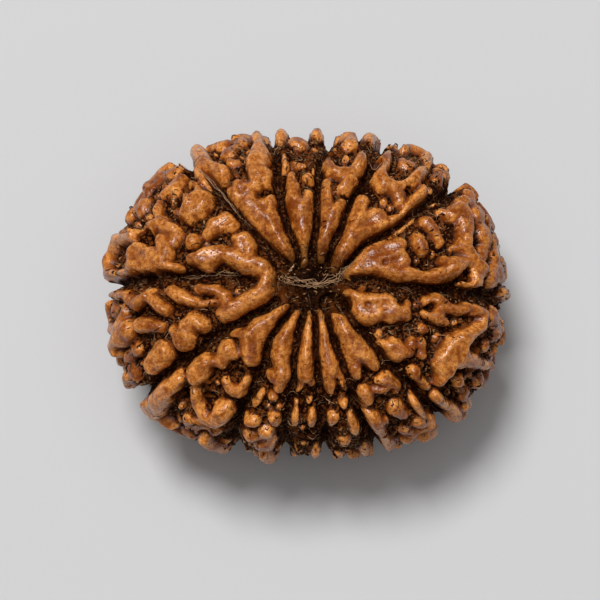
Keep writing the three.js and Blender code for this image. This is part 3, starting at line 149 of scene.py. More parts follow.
# Ridges of the upper face, lobe by lobe, going anticlockwise from the right. Each is its height over the
# bed, then its places: [x, y, half-width] in the view, with Z from mid-height as a fourth number where it
# stands out of the seed's side.
LOBES = {
    "right_back": [
        [1.45, [2.6, 0.9, 0.3], [4.6, 2.0, 0.72], [5.8, 2.9, 0.85], [6.6, 3.5, 0.5]],
        [1.4, [5.0, 1.6, 0.6], [6.4, 2.1, 0.8], [7.0, 1.9, 0.5]],
        [1.6, [2.7, 0.75, 0.32], [5.5, 1.2, 0.5], [7.2, 0.9, 0.55], [8.8, 0.5, 0.5], [10.2, 0.8, 0.5],
            [11.2, 1.3, 0.6]],
        [1.7, [11.2, 1.3, 0.6], [12.5, 1.6, 0.4]],
        [1.45, [10.4, 1.9, 0.35], [10.9, 1.4, 0.4]],
        [1.4, [8.2, 3.6, 0.5], [8.5, 2.9, 0.4]],
        [1.45, [9.1, 5.0, 0.42], [9.8, 4.3, 0.4], [10.2, 3.4, 0.3]],
        [1.35, [10.4, 5.8, 0.3], [10.9, 5.3, 0.3]],
        [1.8, [11.4, 5.6, 0.5], [12.0, 6.2, 0.55], [12.3, 5.2, 0.7], [12.4, 4.5, 0.6], [12.4, 3.6, 0.45]],
        [1.75, [12.4, 3.6, 0.45], [12.2, 2.9, 0.5], [13.0, 2.0, 0.42], [13.6, 1.5, 0.45]],
        [1.4, [12.2, 2.9, 0.5], [11.3, 2.6, 0.3]],
        [1.7, [13.0, 0.7, 0.5], [13.4, -0.1, 0.5], [12.6, -0.1, 0.4]],
        [1.4, [13.3, 0.4, 0.35], [13.7, 1.2, 0.35]],
        [1.6, [14.2, 1.7, 0.3, 1.5], [15.0, 1.3, 0.4, 0.5], [15.1, 0.4, 0.35, 0]],
        [1.6, [13.9, -0.6, 0.3, 2], [14.7, -0.9, 0.45, 0.5], [15.4, -0.7, 0.4, -1]],
        [1.55, [10.5, 7.9, 0.3, 1], [11.1, 7.7, 0.45, 1], [11.7, 7.0, 0.4, 1.5], [12.3, 6.6, 0.3, 1.5]],
        [1.55, [12.9, 5.9, 0.3, 0.5], [13.8, 4.9, 0.4, 0], [14.3, 4.3, 0.45, -0.5], [13.6, 4.3, 0.4, 0]],
        [1.4, [13.4, 3.2, 0.35, 0], [13.8, 2.8, 0.3, -1]],
    ],
    "back_right_wide": [
        [1.55, [1.6, 1.3, 0.25], [2.4, 3.6, 0.52], [3.1, 5.2, 0.6], [3.8, 6.7, 0.5]],
        [1.55, [1.9, 1.7, 0.25], [3.4, 3.5, 0.5], [5.2, 4.3, 0.5], [7.0, 5.3, 0.5], [7.9, 5.7, 0.35]],
        [1.35, [2.6, 3.3, 0.4], [3.8, 4.6, 0.9], [5.0, 5.3, 0.75]],
        [1.7, [7.5, 6.0, 0.35], [8.4, 6.6, 0.5], [9.2, 7.2, 0.6], [9.2, 7.9, 0.3]],
        [1.4, [9.2, 7.2, 0.5], [10.1, 6.8, 0.25]],
        [1.75, [5.4, 10.0, 0.4], [5.3, 9.0, 0.5], [5.7, 8.1, 0.6], [6.6, 7.8, 0.5], [7.6, 8.1, 0.5],
            [8.4, 8.7, 0.5]],
        [1.7, [8.4, 8.7, 0.5], [8.6, 9.4, 0.45, 1.5], [8.0, 9.9, 0.45, 1.5], [7.0, 9.8, 0.35, 2],
            [6.5, 9.4, 0.25, 3]],
        [1.6, [5.4, 10.0, 0.4], [6.2, 10.5, 0.35, 1]],
        [1.35, [6.6, 7.6, 0.5], [7.0, 6.6, 0.4]],
    ],
    "back_right_narrow": [
        [1.45, [0.6, 2.3, 0.25], [0.85, 4.4, 0.55], [1.1, 5.5, 0.75]],
        [1.4, [0.8, 5.6, 0.55], [0.95, 7.0, 0.4], [1.0, 8.1, 0.35]],
        [1.45, [1.3, 5.3, 0.5], [2.1, 6.4, 0.45]],
        [1.55, [1.9, 7.7, 0.3], [3.0, 8.1, 0.62]],
        [1.7, [1.4, 9.9, 0.35], [1.6, 9.1, 0.4], [2.2, 8.9, 0.4], [3.3, 9.1, 0.3], [3.7, 9.6, 0.4]],
        [1.75, [3.7, 9.6, 0.4], [4.2, 10.5, 0.5, 2], [4.8, 11.3, 0.45, 1], [5.4, 10.9, 0.25, 0.5]],
        [1.55, [1.4, 10.9, 0.3, 1.5], [1.5, 10.4, 0.3, 2]],
        [1.6, [2.2, 10.9, 0.4, 0.5], [2.7, 10.2, 0.35, 1]],
    ],
    "back_left_narrow": [
        [1.45, [-0.8, 2.0, 0.22], [-0.95, 4.5, 0.48], [-1.0, 5.8, 0.7]],
        [1.45, [-1.2, 5.8, 0.5], [-1.7, 7.2, 0.45], [-1.8, 8.8, 0.35]],
        [1.4, [-0.8, 6.0, 0.5], [-0.5, 7.1, 0.4]],
        [1.35, [-0.4, 8.6, 0.42]],
        [1.7, [-2.5, 9.8, 0.4], [-2.3, 10.7, 0.5, 2], [-2.4, 11.4, 0.42, 0.5]],
        [1.1, [-1.5, 9.7, 0.3], [-0.7, 9.5, 0.3]],
        [1.7, [0.3, 9.5, 0.3], [0.2, 10.2, 0.42, 2], [0.5, 11.0, 0.4, 0.5]],
    ],
    "back_left_wide": [
        [1.55, [-2.1, 2.3, 0.4], [-3.9, 5.1, 0.78], [-5.2, 6.6, 0.6], [-5.3, 7.8, 0.5], [-6.0, 8.0, 0.45]],
        [1.55, [-2.15, 2.5, 0.42], [-2.9, 5.2, 0.62], [-3.3, 6.9, 0.5]],
        [1.35, [-3.0, 4.2, 0.5], [-3.9, 6.2, 0.8]],
        [1.7, [-6.5, 7.2, 0.65]],
        [1.7, [-4.6, 8.3, 0.45], [-4.5, 9.6, 0.6], [-4.4, 10.5, 0.55], [-4.1, 11.1, 0.4, 2.5]],
        [1.6, [-4.2, 9.1, 0.5], [-3.7, 8.8, 0.6]],
        [1.6, [-5.7, 10.7, 0.55, 1.5], [-4.7, 11.4, 0.5, 0], [-3.9, 11.9, 0.42, -0.5],
            [-3.8, 11.1, 0.3, 0.5]],
        [1.75, [-9.2, 10.2, 0.6, 2.5], [-8.9, 9.6, 0.7], [-8.2, 9.0, 0.8], [-7.4, 9.0, 0.55]],
        [1.55, [-8.4, 10.7, 0.35, 1], [-7.5, 10.6, 0.4, 1], [-7.4, 10.0, 0.35, 1.5]],
        [1.2, [-6.6, 9.8, 0.4], [-6.0, 9.9, 0.3]],
        [1.55, [-10.3, 10.0, 0.5, 1.5]],
    ],
    "left_back": [
        [1.7, [-9.6, 2.2, 0.4], [-8.6, 2.1, 0.72], [-7.3, 2.5, 0.5], [-6.3, 2.2, 0.55], [-5.0, 1.8, 0.6],
            [-4.1, 1.6, 0.55]],
        [1.6, [-4.1, 1.6, 0.55], [-3.5, 0.7, 0.5], [-3.8, -0.2, 0.6], [-4.6, -0.9, 0.65]],
        [1.45, [-5.0, 2.0, 0.5], [-4.9, 3.2, 0.45], [-5.3, 3.9, 0.42], [-6.1, 3.7, 0.35]],
        [1.25, [-5.7, 3.0, 0.55]],
        [1.55, [-6.9, 5.1, 0.75], [-7.8, 4.9, 0.65], [-8.5, 4.2, 0.4]],
        [1.35, [-9.6, 3.6, 0.5]],
        [1.8, [-10.0, 5.9, 0.6], [-9.5, 6.5, 0.8], [-8.8, 6.9, 0.6]],
        [1.6, [-9.1, 7.2, 0.4], [-9.3, 8.0, 0.25], [-9.8, 8.3, 0.22], [-10.2, 7.7, 0.22], [-10.2, 7.0, 0.3]],
        [1.45, [-12.1, 7.3, 0.3], [-11.3, 7.9, 0.5], [-10.7, 8.8, 0.4]],
        [1.6, [-11.1, 9.0, 0.35, 1.5], [-12.1, 8.5, 0.5, 1], [-13.0, 7.9, 0.45, 0.5], [-12.8, 7.1, 0.3, 1.5]],
        [1.55, [-13.5, 7.0, 0.4, -1.5], [-13.8, 6.3, 0.45, -2], [-13.6, 5.5, 0.42, -1.5],
            [-13.1, 5.0, 0.4, -0.5]],
        [1.55, [-12.6, 6.7, 0.22], [-12.6, 6.0, 0.32], [-12.4, 5.3, 0.32], [-11.8, 5.1, 0.4]],
        [1.7, [-11.2, 4.5, 0.5], [-12.2, 4.8, 0.5], [-13.3, 4.5, 0.4], [-14.4, 4.0, 0.42]],
        [1.7, [-14.4, 4.0, 0.42], [-15.4, 3.5, 0.45, 2], [-16.1, 2.7, 0.45, 1], [-16.3, 1.8, 0.45, 0.5]],
        [1.75, [-16.3, 1.8, 0.45, 0.5], [-16.3, 1.0, 0.6, 0.5], [-15.9, 0.6, 0.5, 1.5], [-15.2, 0.8, 0.4],
            [-14.7, 1.3, 0.5]],
        [1.8, [-14.3, 2.5, 0.8], [-13.9, 1.9, 0.95], [-13.0, 1.5, 0.75], [-12.0, 1.2, 0.55],
            [-10.9, 1.5, 0.35]],
        [1.7, [-12.2, 3.3, 0.6], [-12.0, 2.4, 0.6]],
        [1.35, [-10.9, 4.2, 0.5], [-11.3, 3.2, 0.4]],
    ],
    "left_front": [
        [1.6, [-4.6, -0.9, 0.65], [-5.7, -1.6, 0.65], [-7.0, -2.4, 0.5]],
        [1.45, [-9.0, -0.3, 0.35], [-7.6, -0.4, 0.42], [-7.0, -0.9, 0.5], [-6.6, -1.6, 0.5]],
        [1.2, [-9.5, -1.5, 0.25], [-8.2, -1.6, 0.22], [-7.4, -1.5, 0.3]],
        [1.55, [-11.4, -0.6, 0.38], [-10.6, -1.0, 0.5], [-9.9, -1.3, 0.4], [-9.4, -1.3, 0.3]],
        [1.7, [-13.2, -0.8, 0.32], [-13.8, -1.3, 0.35], [-14.5, -1.8, 0.38]],
        [1.7, [-13.4, -1.1, 0.32], [-12.8, -1.6, 0.4], [-11.9, -2.1, 0.42]],
        [1.55, [-16.0, -0.9, 0.25, 1.5], [-15.3, -0.9, 0.35], [-14.9, -1.4, 0.4]],
        [1.6, [-16.3, -1.6, 0.35, 0.5], [-16.3, -2.6, 0.38, 0], [-16.0, -3.3, 0.45, 0.5], [-15.3, -3.8, 0.5]],
        [1.7, [-15.3, -3.8, 0.5], [-14.5, -4.3, 0.5, 2.5], [-13.9, -4.8, 0.4, 2.5]],
        [1.4, [-15.5, -1.9, 0.2], [-15.5, -2.6, 0.3], [-15.8, -3.2, 0.35]],
        [1.6, [-14.1, -3.5, 0.45], [-13.3, -3.4, 0.42], [-12.3, -3.6, 0.3]],
        [1.75, [-11.2, -3.7, 0.35], [-10.4, -4.3, 0.75], [-10.1, -3.5, 0.5], [-9.6, -2.7, 0.42],
            [-8.7, -3.3, 0.42]],
        [1.75, [-12.2, -5.6, 0.7], [-12.9, -6.7, 0.72]],
        [1.55, [-13.9, -6.6, 0.4, 1.5], [-14.3, -7.3, 0.6, 0]],
        [1.45, [-16.2, -0.4, 0.35, -1.5]],
    ],
    "front_left_broad": [
        [1.45, [-2.3, -1.7, 0.25], [-4.2, -3.4, 0.65], [-4.9, -4.6, 0.75], [-5.0, -5.8, 0.6]],
        [1.4, [-6.3, -3.9, 0.22], [-5.0, -4.1, 0.5]],
        [1.45, [-6.8, -5.1, 0.55], [-6.4, -5.5, 0.4]],
        [1.4, [-6.8, -5.2, 0.5], [-7.4, -6.0, 0.48], [-8.1, -6.1, 0.4]],
        [1.8, [-8.7, -6.2, 0.55], [-9.1, -6.9, 0.7], [-9.6, -7.4, 0.62]],
        [1.55, [-7.1, -7.7, 0.28], [-6.6, -8.3, 0.45], [-6.0, -8.6, 0.42], [-5.5, -7.9, 0.35]],
        [1.7, [-9.7, -8.6, 0.35], [-9.5, -9.6, 0.38], [-8.8, -10.6, 0.5], [-8.0, -10.8, 0.6],
            [-7.3, -10.3, 0.7]],
        [1.6, [-7.3, -10.3, 0.7], [-6.8, -9.7, 0.35]],
        [1.6, [-7.9, -11.1, 0.5, 2], [-7.4, -12.1, 0.42, 0], [-7.2, -13.0, 0.35, -1.5]],
        [1.8, [-11.0, -7.6, 0.42], [-11.8, -8.5, 0.65], [-12.5, -9.3, 0.8, 1.5], [-13.5, -9.8, 0.65, 0.5]],
        [1.55, [-12.2, -10.1, 0.5, 1], [-10.9, -10.4, 0.45, 1.5]],
        [1.4, [-13.2, -10.5, 0.4, -1.5], [-12.0, -11.3, 0.4, -2], [-10.9, -11.4, 0.4, -2],
            [-9.4, -11.6, 0.4, -2]],
        [1.4, [-6.0, -12.2, 0.22, 0.5], [-6.1, -13.2, 0.35, -1.5]],
    ],
    "front_left_narrow": [
        [1.45, [-1.5, -1.9, 0.2], [-2.4, -4.4, 0.52], [-2.8, -5.6, 0.65], [-2.8, -6.6, 0.55]],
        [1.55, [-3.4, -7.2, 0.4], [-2.7, -7.2, 0.6], [-2.8, -7.9, 0.4]],
        [1.25, [-3.3, -8.7, 0.32]],
        [1.25, [-4.2, -8.7, 0.26], [-4.8, -9.6, 0.25]],
        [1.6, [-3.2, -10.7, 0.42], [-3.0, -11.3, 0.3]],
        [1.55, [-5.4, -11.1, 0.42], [-4.8, -11.1, 0.42]],
        [1.75, [-3.7, -11.9, 0.35, 1], [-3.4, -12.8, 0.55, -0.5], [-2.9, -13.8, 0.3, -2]],
    ],
    "front_middle": [
        [1.4, [-0.6, -1.9, 0.18], [-0.75, -4.5, 0.38], [-0.75, -6.0, 0.58], [-0.75, -7.2, 0.5]],
        [1.35, [-0.6, -7.2, 0.35], [-0.3, -7.9, 0.25]],
        [1.25, [-1.0, -7.2, 0.35], [-1.3, -8.5, 0.2]],
        [1.25, [-0.4, -9.4, 0.27]],
        [1.6, [-0.1, -10.5, 0.27], [0.0, -11.3, 0.35, 1.5], [0.15, -12.3, 0.35, 0], [0.2, -13.2, 0.3, -1.5]],
        [1.55, [-1.5, -9.6, 0.2], [-1.55, -10.7, 0.28], [-1.5, -11.8, 0.2, 1]],
        [1.4, [-1.6, -12.8, 0.3, -1.5], [-1.6, -13.2, 0.25, -2.5]],
    ],
    "front_right_narrow": [
        [1.45, [0.35, -1.8, 0.18], [0.8, -4.4, 0.42], [1.2, -6.0, 0.65], [1.1, -7.4, 0.45], [1.2, -8.5, 0.3]],
        [1.35, [1.7, -6.8, 0.33], [2.3, -7.9, 0.22], [2.5, -8.4, 0.15]],
        [1.4, [2.4, -9.6, 0.36]],
        [1.45, [1.5, -10.8, 0.42], [1.4, -11.4, 0.3]],
        [1.45, [1.7, -11.9, 0.25, 1], [1.9, -12.6, 0.32, 0]],
        [1.6, [3.0, -10.6, 0.22], [3.3, -11.5, 0.35], [3.7, -12.3, 0.36, 0.5], [4.5, -13.4, 0.32, -2]],
        [1.4, [1.5, -13.2, 0.3, -2.5]],
    ],
    "front_right_broad": [
        [1.55, [1.55, -1.4, 0.25], [2.3, -3.3, 0.55], [3.2, -4.5, 0.7], [4.3, -5.4, 0.5], [5.0, -6.2, 0.35]],
        [1.45, [2.7, -4.0, 0.55], [3.1, -5.6, 0.6], [3.3, -6.8, 0.48]],
        [1.6, [5.4, -7.4, 0.38], [6.0, -7.6, 0.48], [6.6, -8.2, 0.4], [6.6, -8.7, 0.25]],
        [1.4, [5.0, -8.2, 0.3], [5.7, -8.3, 0.3]],
        [1.55, [4.2, -8.5, 0.45], [4.4, -9.2, 0.45], [4.2, -9.9, 0.25]],
        [1.55, [6.6, -10.0, 0.5], [7.3, -10.4, 0.33]],
        [1.7, [8.2, -9.4, 0.4], [8.9, -9.9, 0.5], [9.3, -10.5, 0.38]],
        [1.6, [4.4, -10.3, 0.33], [5.0, -11.1, 0.5], [5.6, -12.0, 0.36, 1], [6.0, -12.6, 0.3, 0]],
        [1.4, [5.8, -10.9, 0.22], [6.1, -12.0, 0.25, 0.5]],
        [1.6, [8.6, -12.0, 0.5, 0], [9.6, -12.0, 0.5, -1], [10.3, -11.4, 0.45, -1], [9.7, -11.0, 0.3, 0.5]],
        [1.4, [6.8, -12.6, 0.35, -2]],
    ],
    "right_front": [
        [1.6, [2.8, -1.0, 0.5], [4.3, -1.9, 0.95], [5.6, -1.7, 0.78], [6.4, -2.4, 0.55], [7.3, -2.3, 0.42]],
        [1.4, [7.3, -2.3, 0.4], [7.5, -1.6, 0.28]],
        [1.55, [5.6, -4.7, 0.42], [6.4, -5.1, 0.75], [7.4, -5.1, 0.4]],
        [1.35, [7.4, -5.1, 0.35], [7.8, -4.2, 0.28]],
        [1.45, [8.0, -6.8, 0.42], [8.5, -7.3, 0.32], [9.1, -7.9, 0.42]],
        [1.55, [9.1, -1.2, 0.3], [10.2, -1.1, 0.32], [10.7, -1.7, 0.35], [11.5, -1.8, 0.3],
            [12.3, -1.7, 0.32]],
        [1.45, [9.0, -2.2, 0.3], [9.8, -2.5, 0.42], [10.4, -2.9, 0.3]],
        [1.35, [9.9, -1.3, 0.35], [9.9, -2.3, 0.4]],
        [1.7, [12.9, -1.9, 0.32], [13.9, -2.3, 0.42], [13.6, -3.3, 0.5], [12.8, -3.8, 0.5],
            [11.9, -4.4, 0.6]],
        [1.75, [11.9, -4.4, 0.6], [11.3, -5.3, 0.8], [10.5, -6.0, 0.7], [10.6, -6.9, 0.55],
            [10.2, -7.7, 0.35]],
        [1.6, [11.3, -5.8, 0.75], [12.4, -6.2, 0.42], [13.4, -6.0, 0.38, 1.5]],
        [1.7, [14.6, -2.6, 0.4, 1], [15.3, -3.2, 0.5, -0.5], [15.3, -4.0, 0.45, -1],
            [14.8, -4.4, 0.35, -0.5]],
        [1.4, [14.2, -4.0, 0.22, 1], [14.1, -5.1, 0.24, 1]],
        [1.55, [14.7, -5.6, 0.25, -2], [14.8, -6.3, 0.3, -2], [14.2, -7.0, 0.35, -2],
            [13.2, -7.4, 0.4, -2], [12.2, -7.4, 0.3, -1]],
        [1.75, [9.9, -8.9, 0.36], [10.5, -9.6, 0.4, 1.5], [10.9, -10.1, 0.4, 0.5], [11.6, -9.9, 0.42, -0.5]],
        [1.6, [11.6, -9.9, 0.42, -0.5], [11.9, -9.2, 0.4, -0.5], [11.2, -9.0, 0.4, 1]],
        [1.2, [8.4, -4.3, 0.28], [8.5, -5.3, 0.3]],
        [1.05, [8.6, -3.3, 0.3]],
    ],
}

# Pits that break into the ridges: [x, y, radius, depth], with Z as a fifth number on the side.
PITS = [
    [-9.8, 7.6, 0.3, 1.8],
    [-13.4, 3.8, 0.5, 2.0],
    [-15.4, 2.1, 0.42, 2.0, 3],
    [-13.1, 2.95, 0.25, 1.4],
    [-15.7, 3.1, 0.22, 1.2, 3],
    [7.1, 9.0, 0.42, 2.0],
    [7.7, 7.4, 0.35, 1.6],
    [12.3, 0.8, 0.35, 1.8],
    [5.5, 1.7, 0.2, 0.5],
    [4.4, -1.7, 0.25, 0.4],
    [9.3, -1.7, 0.3, 1.0],
    [13.0, -4.9, 0.5, 1.5],
    [-6.1, -7.3, 0.4, 0.8],
    [-8.3, -9.4, 0.4, 1.0],
    [-10.6, -9.1, 0.5, 1.5],
    [11.0, -8.4, 0.35, 1.2],
]

# The underside and the side, by rule, as in the solid. The rubble between the ridges is only on this finer
# surface. Bearings are degrees round the seed from +X, and angles are degrees down from the upper pole.
SEED = 20130
LOWER_FURROW = {"from": 98, "to": 170, "step": 9, "sway": 5, "evening": 0.5}
PETAL = {"root": 170, "broad": 155, "tip": 144, "height": 1.6, "root_half_width": 0.3, "share": 0.36,
         "wide": 30}
RIBS = {"from": 84, "to": 146, "apart": 1.9, "sway": 0.28, "short": 9, "long": 20, "break": 5,
        "thin": 0.5, "thick": 0.82, "low": 0.95, "high": 1.3, "gap": 0.1}
KNOBS = {"tries": 2500, "from": 55, "to": 146, "gap": 0.25, "thin": 0.4, "thick": 0.7, "low": 0.8,
         "high": 1.3}
LINKS = {"reach": 2.2, "most": 2, "chance": 0.55, "neck": 0.8, "bend": 0.12}
RUBBLE = {"tries": 2600, "from": 14, "to": 168, "gap": 0.15, "thin": 0.16, "thick": 0.3, "low": 0.5,
          "high": 1.0}

# The fine surface: each of a cube's six sides is a grid, blown up to a ball, whose corners then slide
# towards the steep places.
SIDE_CELLS = 128
SLIDING_PASSES = 5
SLIDING_SHARE = 0.5


def draw_from(seed):
    """A repeatable draw between 0 and 1: each state is the last times 16807, modulo 2^31 - 1."""
    state = seed
    while True:
        state = (state * 16807) % 2147483647
        yield state / 2147483647


def lattice_value(i, j, k):
    """A scrambled value between -1 and 1 at each corner of a unit lattice: the fraction of a large sine."""
    scrambled = np.sin(i * 127.1 + j * 311.7 + k * 74.7) * 43758.5453
    return 2 * (scrambled - np.floor(scrambled)) - 1


def noise(points, length, shift=0):
    """Smooth noise between -1 and 1: lattice values blended by 3t^2 - 2t^3 along each axis."""
    x, y, z = points[:, 0] / length + shift, points[:, 1] / length, points[:, 2] / length
    i, j, k = np.floor(x), np.floor(y), np.floor(z)
    u, v, w = [t * t * (3 - 2 * t) for t in (x - i, y - j, z - k)]

    def row(dj, dk):
        start = lattice_value(i, j + dj, k + dk)
        return start + (lattice_value(i + 1, j + dj, k + dk) - start) * u

    near = row(0, 0) * (1 - v) + row(1, 0) * v
    far = row(0, 1) * (1 - v) + row(1, 1) * v
    return near * (1 - w) + far * w


def strewn(points, rule):
    """Round hollows strewn over the seed, 1 in the middle of each and 0 at its radius, by (1 - t^2)^2. Each
    lattice cell has a scrambled middle, and a share of the cells hold a hollow."""
    places = points / rule["cell"] + rule["shift"]
    cell = np.floor(places)
    nearest = np.full(len(points), np.inf)
    for offset in itertools.product((-1, 0, 1), repeat=3):
        i, j, k = (cell + offset).T
        middle = np.stack([i, j, k], 1) + 0.5
        middle += 0.4 * np.stack([lattice_value(i + 11 * axis, j, k) for axis in range(3)], 1)
        holds = lattice_value(i, j, k + 7) < 2 * rule["share"] - 1
        nearest = np.minimum(nearest, np.where(holds, np.linalg.norm(places - middle, axis=1), np.inf))
    return (1 - np.minimum(nearest * rule["cell"] / rule["radius"], 1) ** 2) ** 2


def bed_point(directions):
    """The bed in each direction: the direction scaled so that sideways^n + upright^n is 1, times the bed's
    half sizes, and wider or narrower sideways by a cosine of four times the bearing."""
    bearing = np.arctan2(directions[:, 1], directions[:, 0])
    sideways = np.hypot(directions[:, 0], directions[:, 1])
    fuller = 1 - FULLNESS * sideways ** 2 * np.cos(CORNERS * bearing)
    far = (sideways ** FLATNESS + np.abs(directions[:, 2]) ** FLATNESS) ** (-1 / FLATNESS)
    points = directions * far[:, None] * BED
    points[:, :2] *= fuller[:, None]
    return points


def way_out(directions):
    """The bed's unit normal, from the gradient of sideways^n + upright^n."""
    sideways = np.maximum(np.hypot(directions[:, 0], directions[:, 1]), 1e-9) ** (FLATNESS - 2)
    upright = np.abs(directions[:, 2]) ** (FLATNESS - 2)
    normals = directions * np.stack([sideways, sideways, upright], 1) / BED
    return normals / np.linalg.norm(normals, axis=1)[:, None]


def place_in_view(x, y, height, z=None):
    """The direction of a place in the view, for a ridge of some height: a first guess is shifted on the bed,
    seen from above, until the ridge's top shows where it should. With a Z of its own the guess is right."""
    sin, cos = math.sin(VIEW_ELEVATION), math.cos(VIEW_ELEVATION)
    size = BED + height
    right, up = x + POLE_X, y + POLE_Z * cos
    level = POLE_Z if z is None else z
    across, along = right / size[0], (up - level * cos) / sin / size[1]
    direction = np.array([across, along, level / size[2]])
    for _ in range(PLACING_PASSES if z is None else 0):
        reach = math.hypot(across, along)
        held = min(reach, RIM)
        across, along = across * held / reach, along * held / reach
        direction = np.array([across, along, (1 - held ** FLATNESS) ** (1 / FLATNESS)])
        direction /= np.linalg.norm(direction)
        top = (bed_point(direction[None]) + height * way_out(direction[None]))[0]
        across += (right - top[0]) / size[0]
        along += (up - top[1] * sin - top[2] * cos) / size[1]
    return direction / np.linalg.norm(direction)


def place_by_angles(bearing, down):
    """The direction at a bearing and an angle down from the upper pole, in degrees."""
    turn, lean = math.radians(bearing), math.radians(down)
    return np.array([math.sin(lean) * math.cos(turn), math.sin(lean) * math.sin(turn), math.cos(lean)])


class Line:
    """A ridge, furrow or pit: its height, its places on the bed with a half-width each, and the ball that
    holds all its relief."""

    def __init__(self, height, directions, half_widths):
        self.height = height
        self.directions = directions
        self.points = bed_point(np.array(directions))
        self.half_widths = np.array(half_widths, float)
        self.centre = (self.points.min(0) + self.points.max(0)) / 2
        spread = np.linalg.norm(self.points - self.centre, axis=1).max()
        self.radius = spread + FOOT_REACH * self.half_widths.max()

    def nearest(self, points):
        """For each point: its distance from the line in half-widths at the stretch where that is least, the
        half-width there and the distance."""
        share = np.full(len(points), np.inf)
        half_width, distance = np.zeros(len(points)), np.zeros(len(points))
        last = len(self.points) - 1
        for n in range(max(last, 1)):
            after = min(n + 1, last)
            along = self.points[after] - self.points[n]
            t = np.clip((points - self.points[n]) @ along / (along @ along or 1), 0, 1)
            far = np.linalg.norm(points - self.points[n] - t[:, None] * along, axis=1)
            width = self.half_widths[n] + (self.half_widths[after] - self.half_widths[n]) * t
            closer = far / width < share
            share = np.where(closer, far / width, share)
            half_width = np.where(closer, width, half_width)
            distance = np.where(closer, far, distance)
        return share, half_width, distance

    def within(self, points, margin=0):
        """Which points are in the line's ball, made larger by a margin."""
        return np.flatnonzero(((points - self.centre) ** 2).sum(1) < (self.radius + margin) ** 2)


def is_clear(point, half_width, lines, gap):
    """Whether a place of some half-width is clear of a set of lines by a gap."""
    for line in lines:
        if math.dist(point, line.centre) > line.radius + half_width + gap:
            continue
        _, width, distance = line.nearest(point[None])
        if distance[0] <= width[0] + half_width + gap:
            return False
    return True


def make_furrows(draw):
    """The furrows: the traced part of each, then on under the seed to the lower pole, where they are evener."""
    furrows = []
    for index, traced in enumerate(FURROWS):
        directions = [place_in_view(x, y, 0) for x, y in traced]
        near_pole, at_rim, below = FURROW_HALF_WIDTHS
        half_widths = np.linspace(near_pole, at_rim, len(directions)).tolist()
        bearing = math.degrees(math.atan2(directions[-1][1], directions[-1][0]))
        off = (360 * index / len(FURROWS) - bearing + 180) % 360 - 180
        for down in range(LOWER_FURROW["from"], LOWER_FURROW["to"] + 1, LOWER_FURROW["step"]):
            done = (down - LOWER_FURROW["from"]) / (LOWER_FURROW["to"] - LOWER_FURROW["from"])
            sway = LOWER_FURROW["sway"] * (next(draw) - 0.5)
            directions.append(place_by_angles(bearing + LOWER_FURROW["evening"] * done * off + sway, down))
            half_widths.append(below + (near_pole - below) * done ** 3)
        furrows.append(Line(FURROW_DEPTH, directions, half_widths))
    return furrows


def bearing_at(furrow, down):
    """The bearing of a furrow's line at an angle down from the upper pole."""
    level = math.cos(math.radians(down)) * BED[2]
    point = furrow.points[np.argmin(np.abs(furrow.points[:, 2] - level))]
    return math.degrees(math.atan2(point[1] / BED[1], point[0] / BED[0]))


def make_petals(furrows):
    """Petals round the lower pole, one between each two furrows, or two from one root in a wide lobe."""
    petals = []
    for index, furrow in enumerate(furrows):
        start = bearing_at(furrow, PETAL["broad"])
        turn = (bearing_at(furrows[(index + 1) % len(furrows)], PETAL["broad"]) - start) % 360
        across = math.radians(turn) * math.sin(math.radians(PETAL["broad"])) * BED[1]
        shares = [0.3, 0.7] if turn > PETAL["wide"] else [0.5]
        half_width = PETAL["share"] * across / len(shares)
        for share in shares:
            directions = [place_by_angles(start + turn / 2, PETAL["root"]),
                          place_by_angles(start + turn * share, PETAL["broad"]),
                          place_by_angles(start + turn * share, PETAL["tip"])]
            half_widths = [PETAL["root_half_width"], half_width, 0.8 * half_width]
            petals.append(Line(PETAL["height"], directions, half_widths))
    return petals


def make_ribs(furrows, lines, draw):
    """Crooked ribs down the side, side by side between each two furrows. Each is broken at drawn places, and
    a stretch that would run into what stands there is left out."""
    ribs = []
    for index, furrow in enumerate(furrows):
        start = bearing_at(furrow, 100)
        turn = (bearing_at(furrows[(index + 1) % len(furrows)], 100) - start) % 360
        across = math.radians(turn) * BED[:2].mean()
        count = max(round(across / RIBS["apart"]), 1)
        for rib in range(count):
            down = RIBS["from"] + RIBS["short"] * next(draw)
            while down < RIBS["to"]:
                length = RIBS["short"] + (RIBS["long"] - RIBS["short"]) * next(draw)
                directions, half_widths = [], []
                for part in range(3):
                    reached = down + length * part / 2
                    first = bearing_at(furrow, reached)
                    wide = (bearing_at(furrows[(index + 1) % len(furrows)], reached) - first) % 360
                    sway = RIBS["sway"] * (2 * next(draw) - 1)
                    directions.append(place_by_angles(first + wide * (rib + 0.5 + sway) / count, reached))
                    half_widths.append(RIBS["thin"] + (RIBS["thick"] - RIBS["thin"]) * next(draw))
                height = RIBS["low"] + (RIBS["high"] - RIBS["low"]) * next(draw)
                places = bed_point(np.array(directions))
                if all(is_clear(place, half_width, lines, RIBS["gap"])
                       for place, half_width in zip(places, half_widths)):
                    ribs.append(Line(height, directions, half_widths))
                down += length + RIBS["break"]
    return ribs


def draw_knobs(rule, lines, draw):
    """Knobs set by a draw, evenly thick over a zone, clear of all that stands there."""
    knobs = []
    top, bottom = [math.cos(math.radians(rule[end])) for end in ("from", "to")]
    for _ in range(rule["tries"]):
        down = math.degrees(math.acos(top + (bottom - top) * next(draw)))
        direction = place_by_angles(360 * next(draw), down)
        half_width = rule["thin"] + (rule["thick"] - rule["thin"]) * next(draw)
        height = rule["low"] + (rule["high"] - rule["low"]) * next(draw)
        if is_clear(bed_point(direction[None])[0], half_width, lines + knobs, rule["gap"]):
            knobs.append(Line(height, [direction], [half_width]))
    return knobs


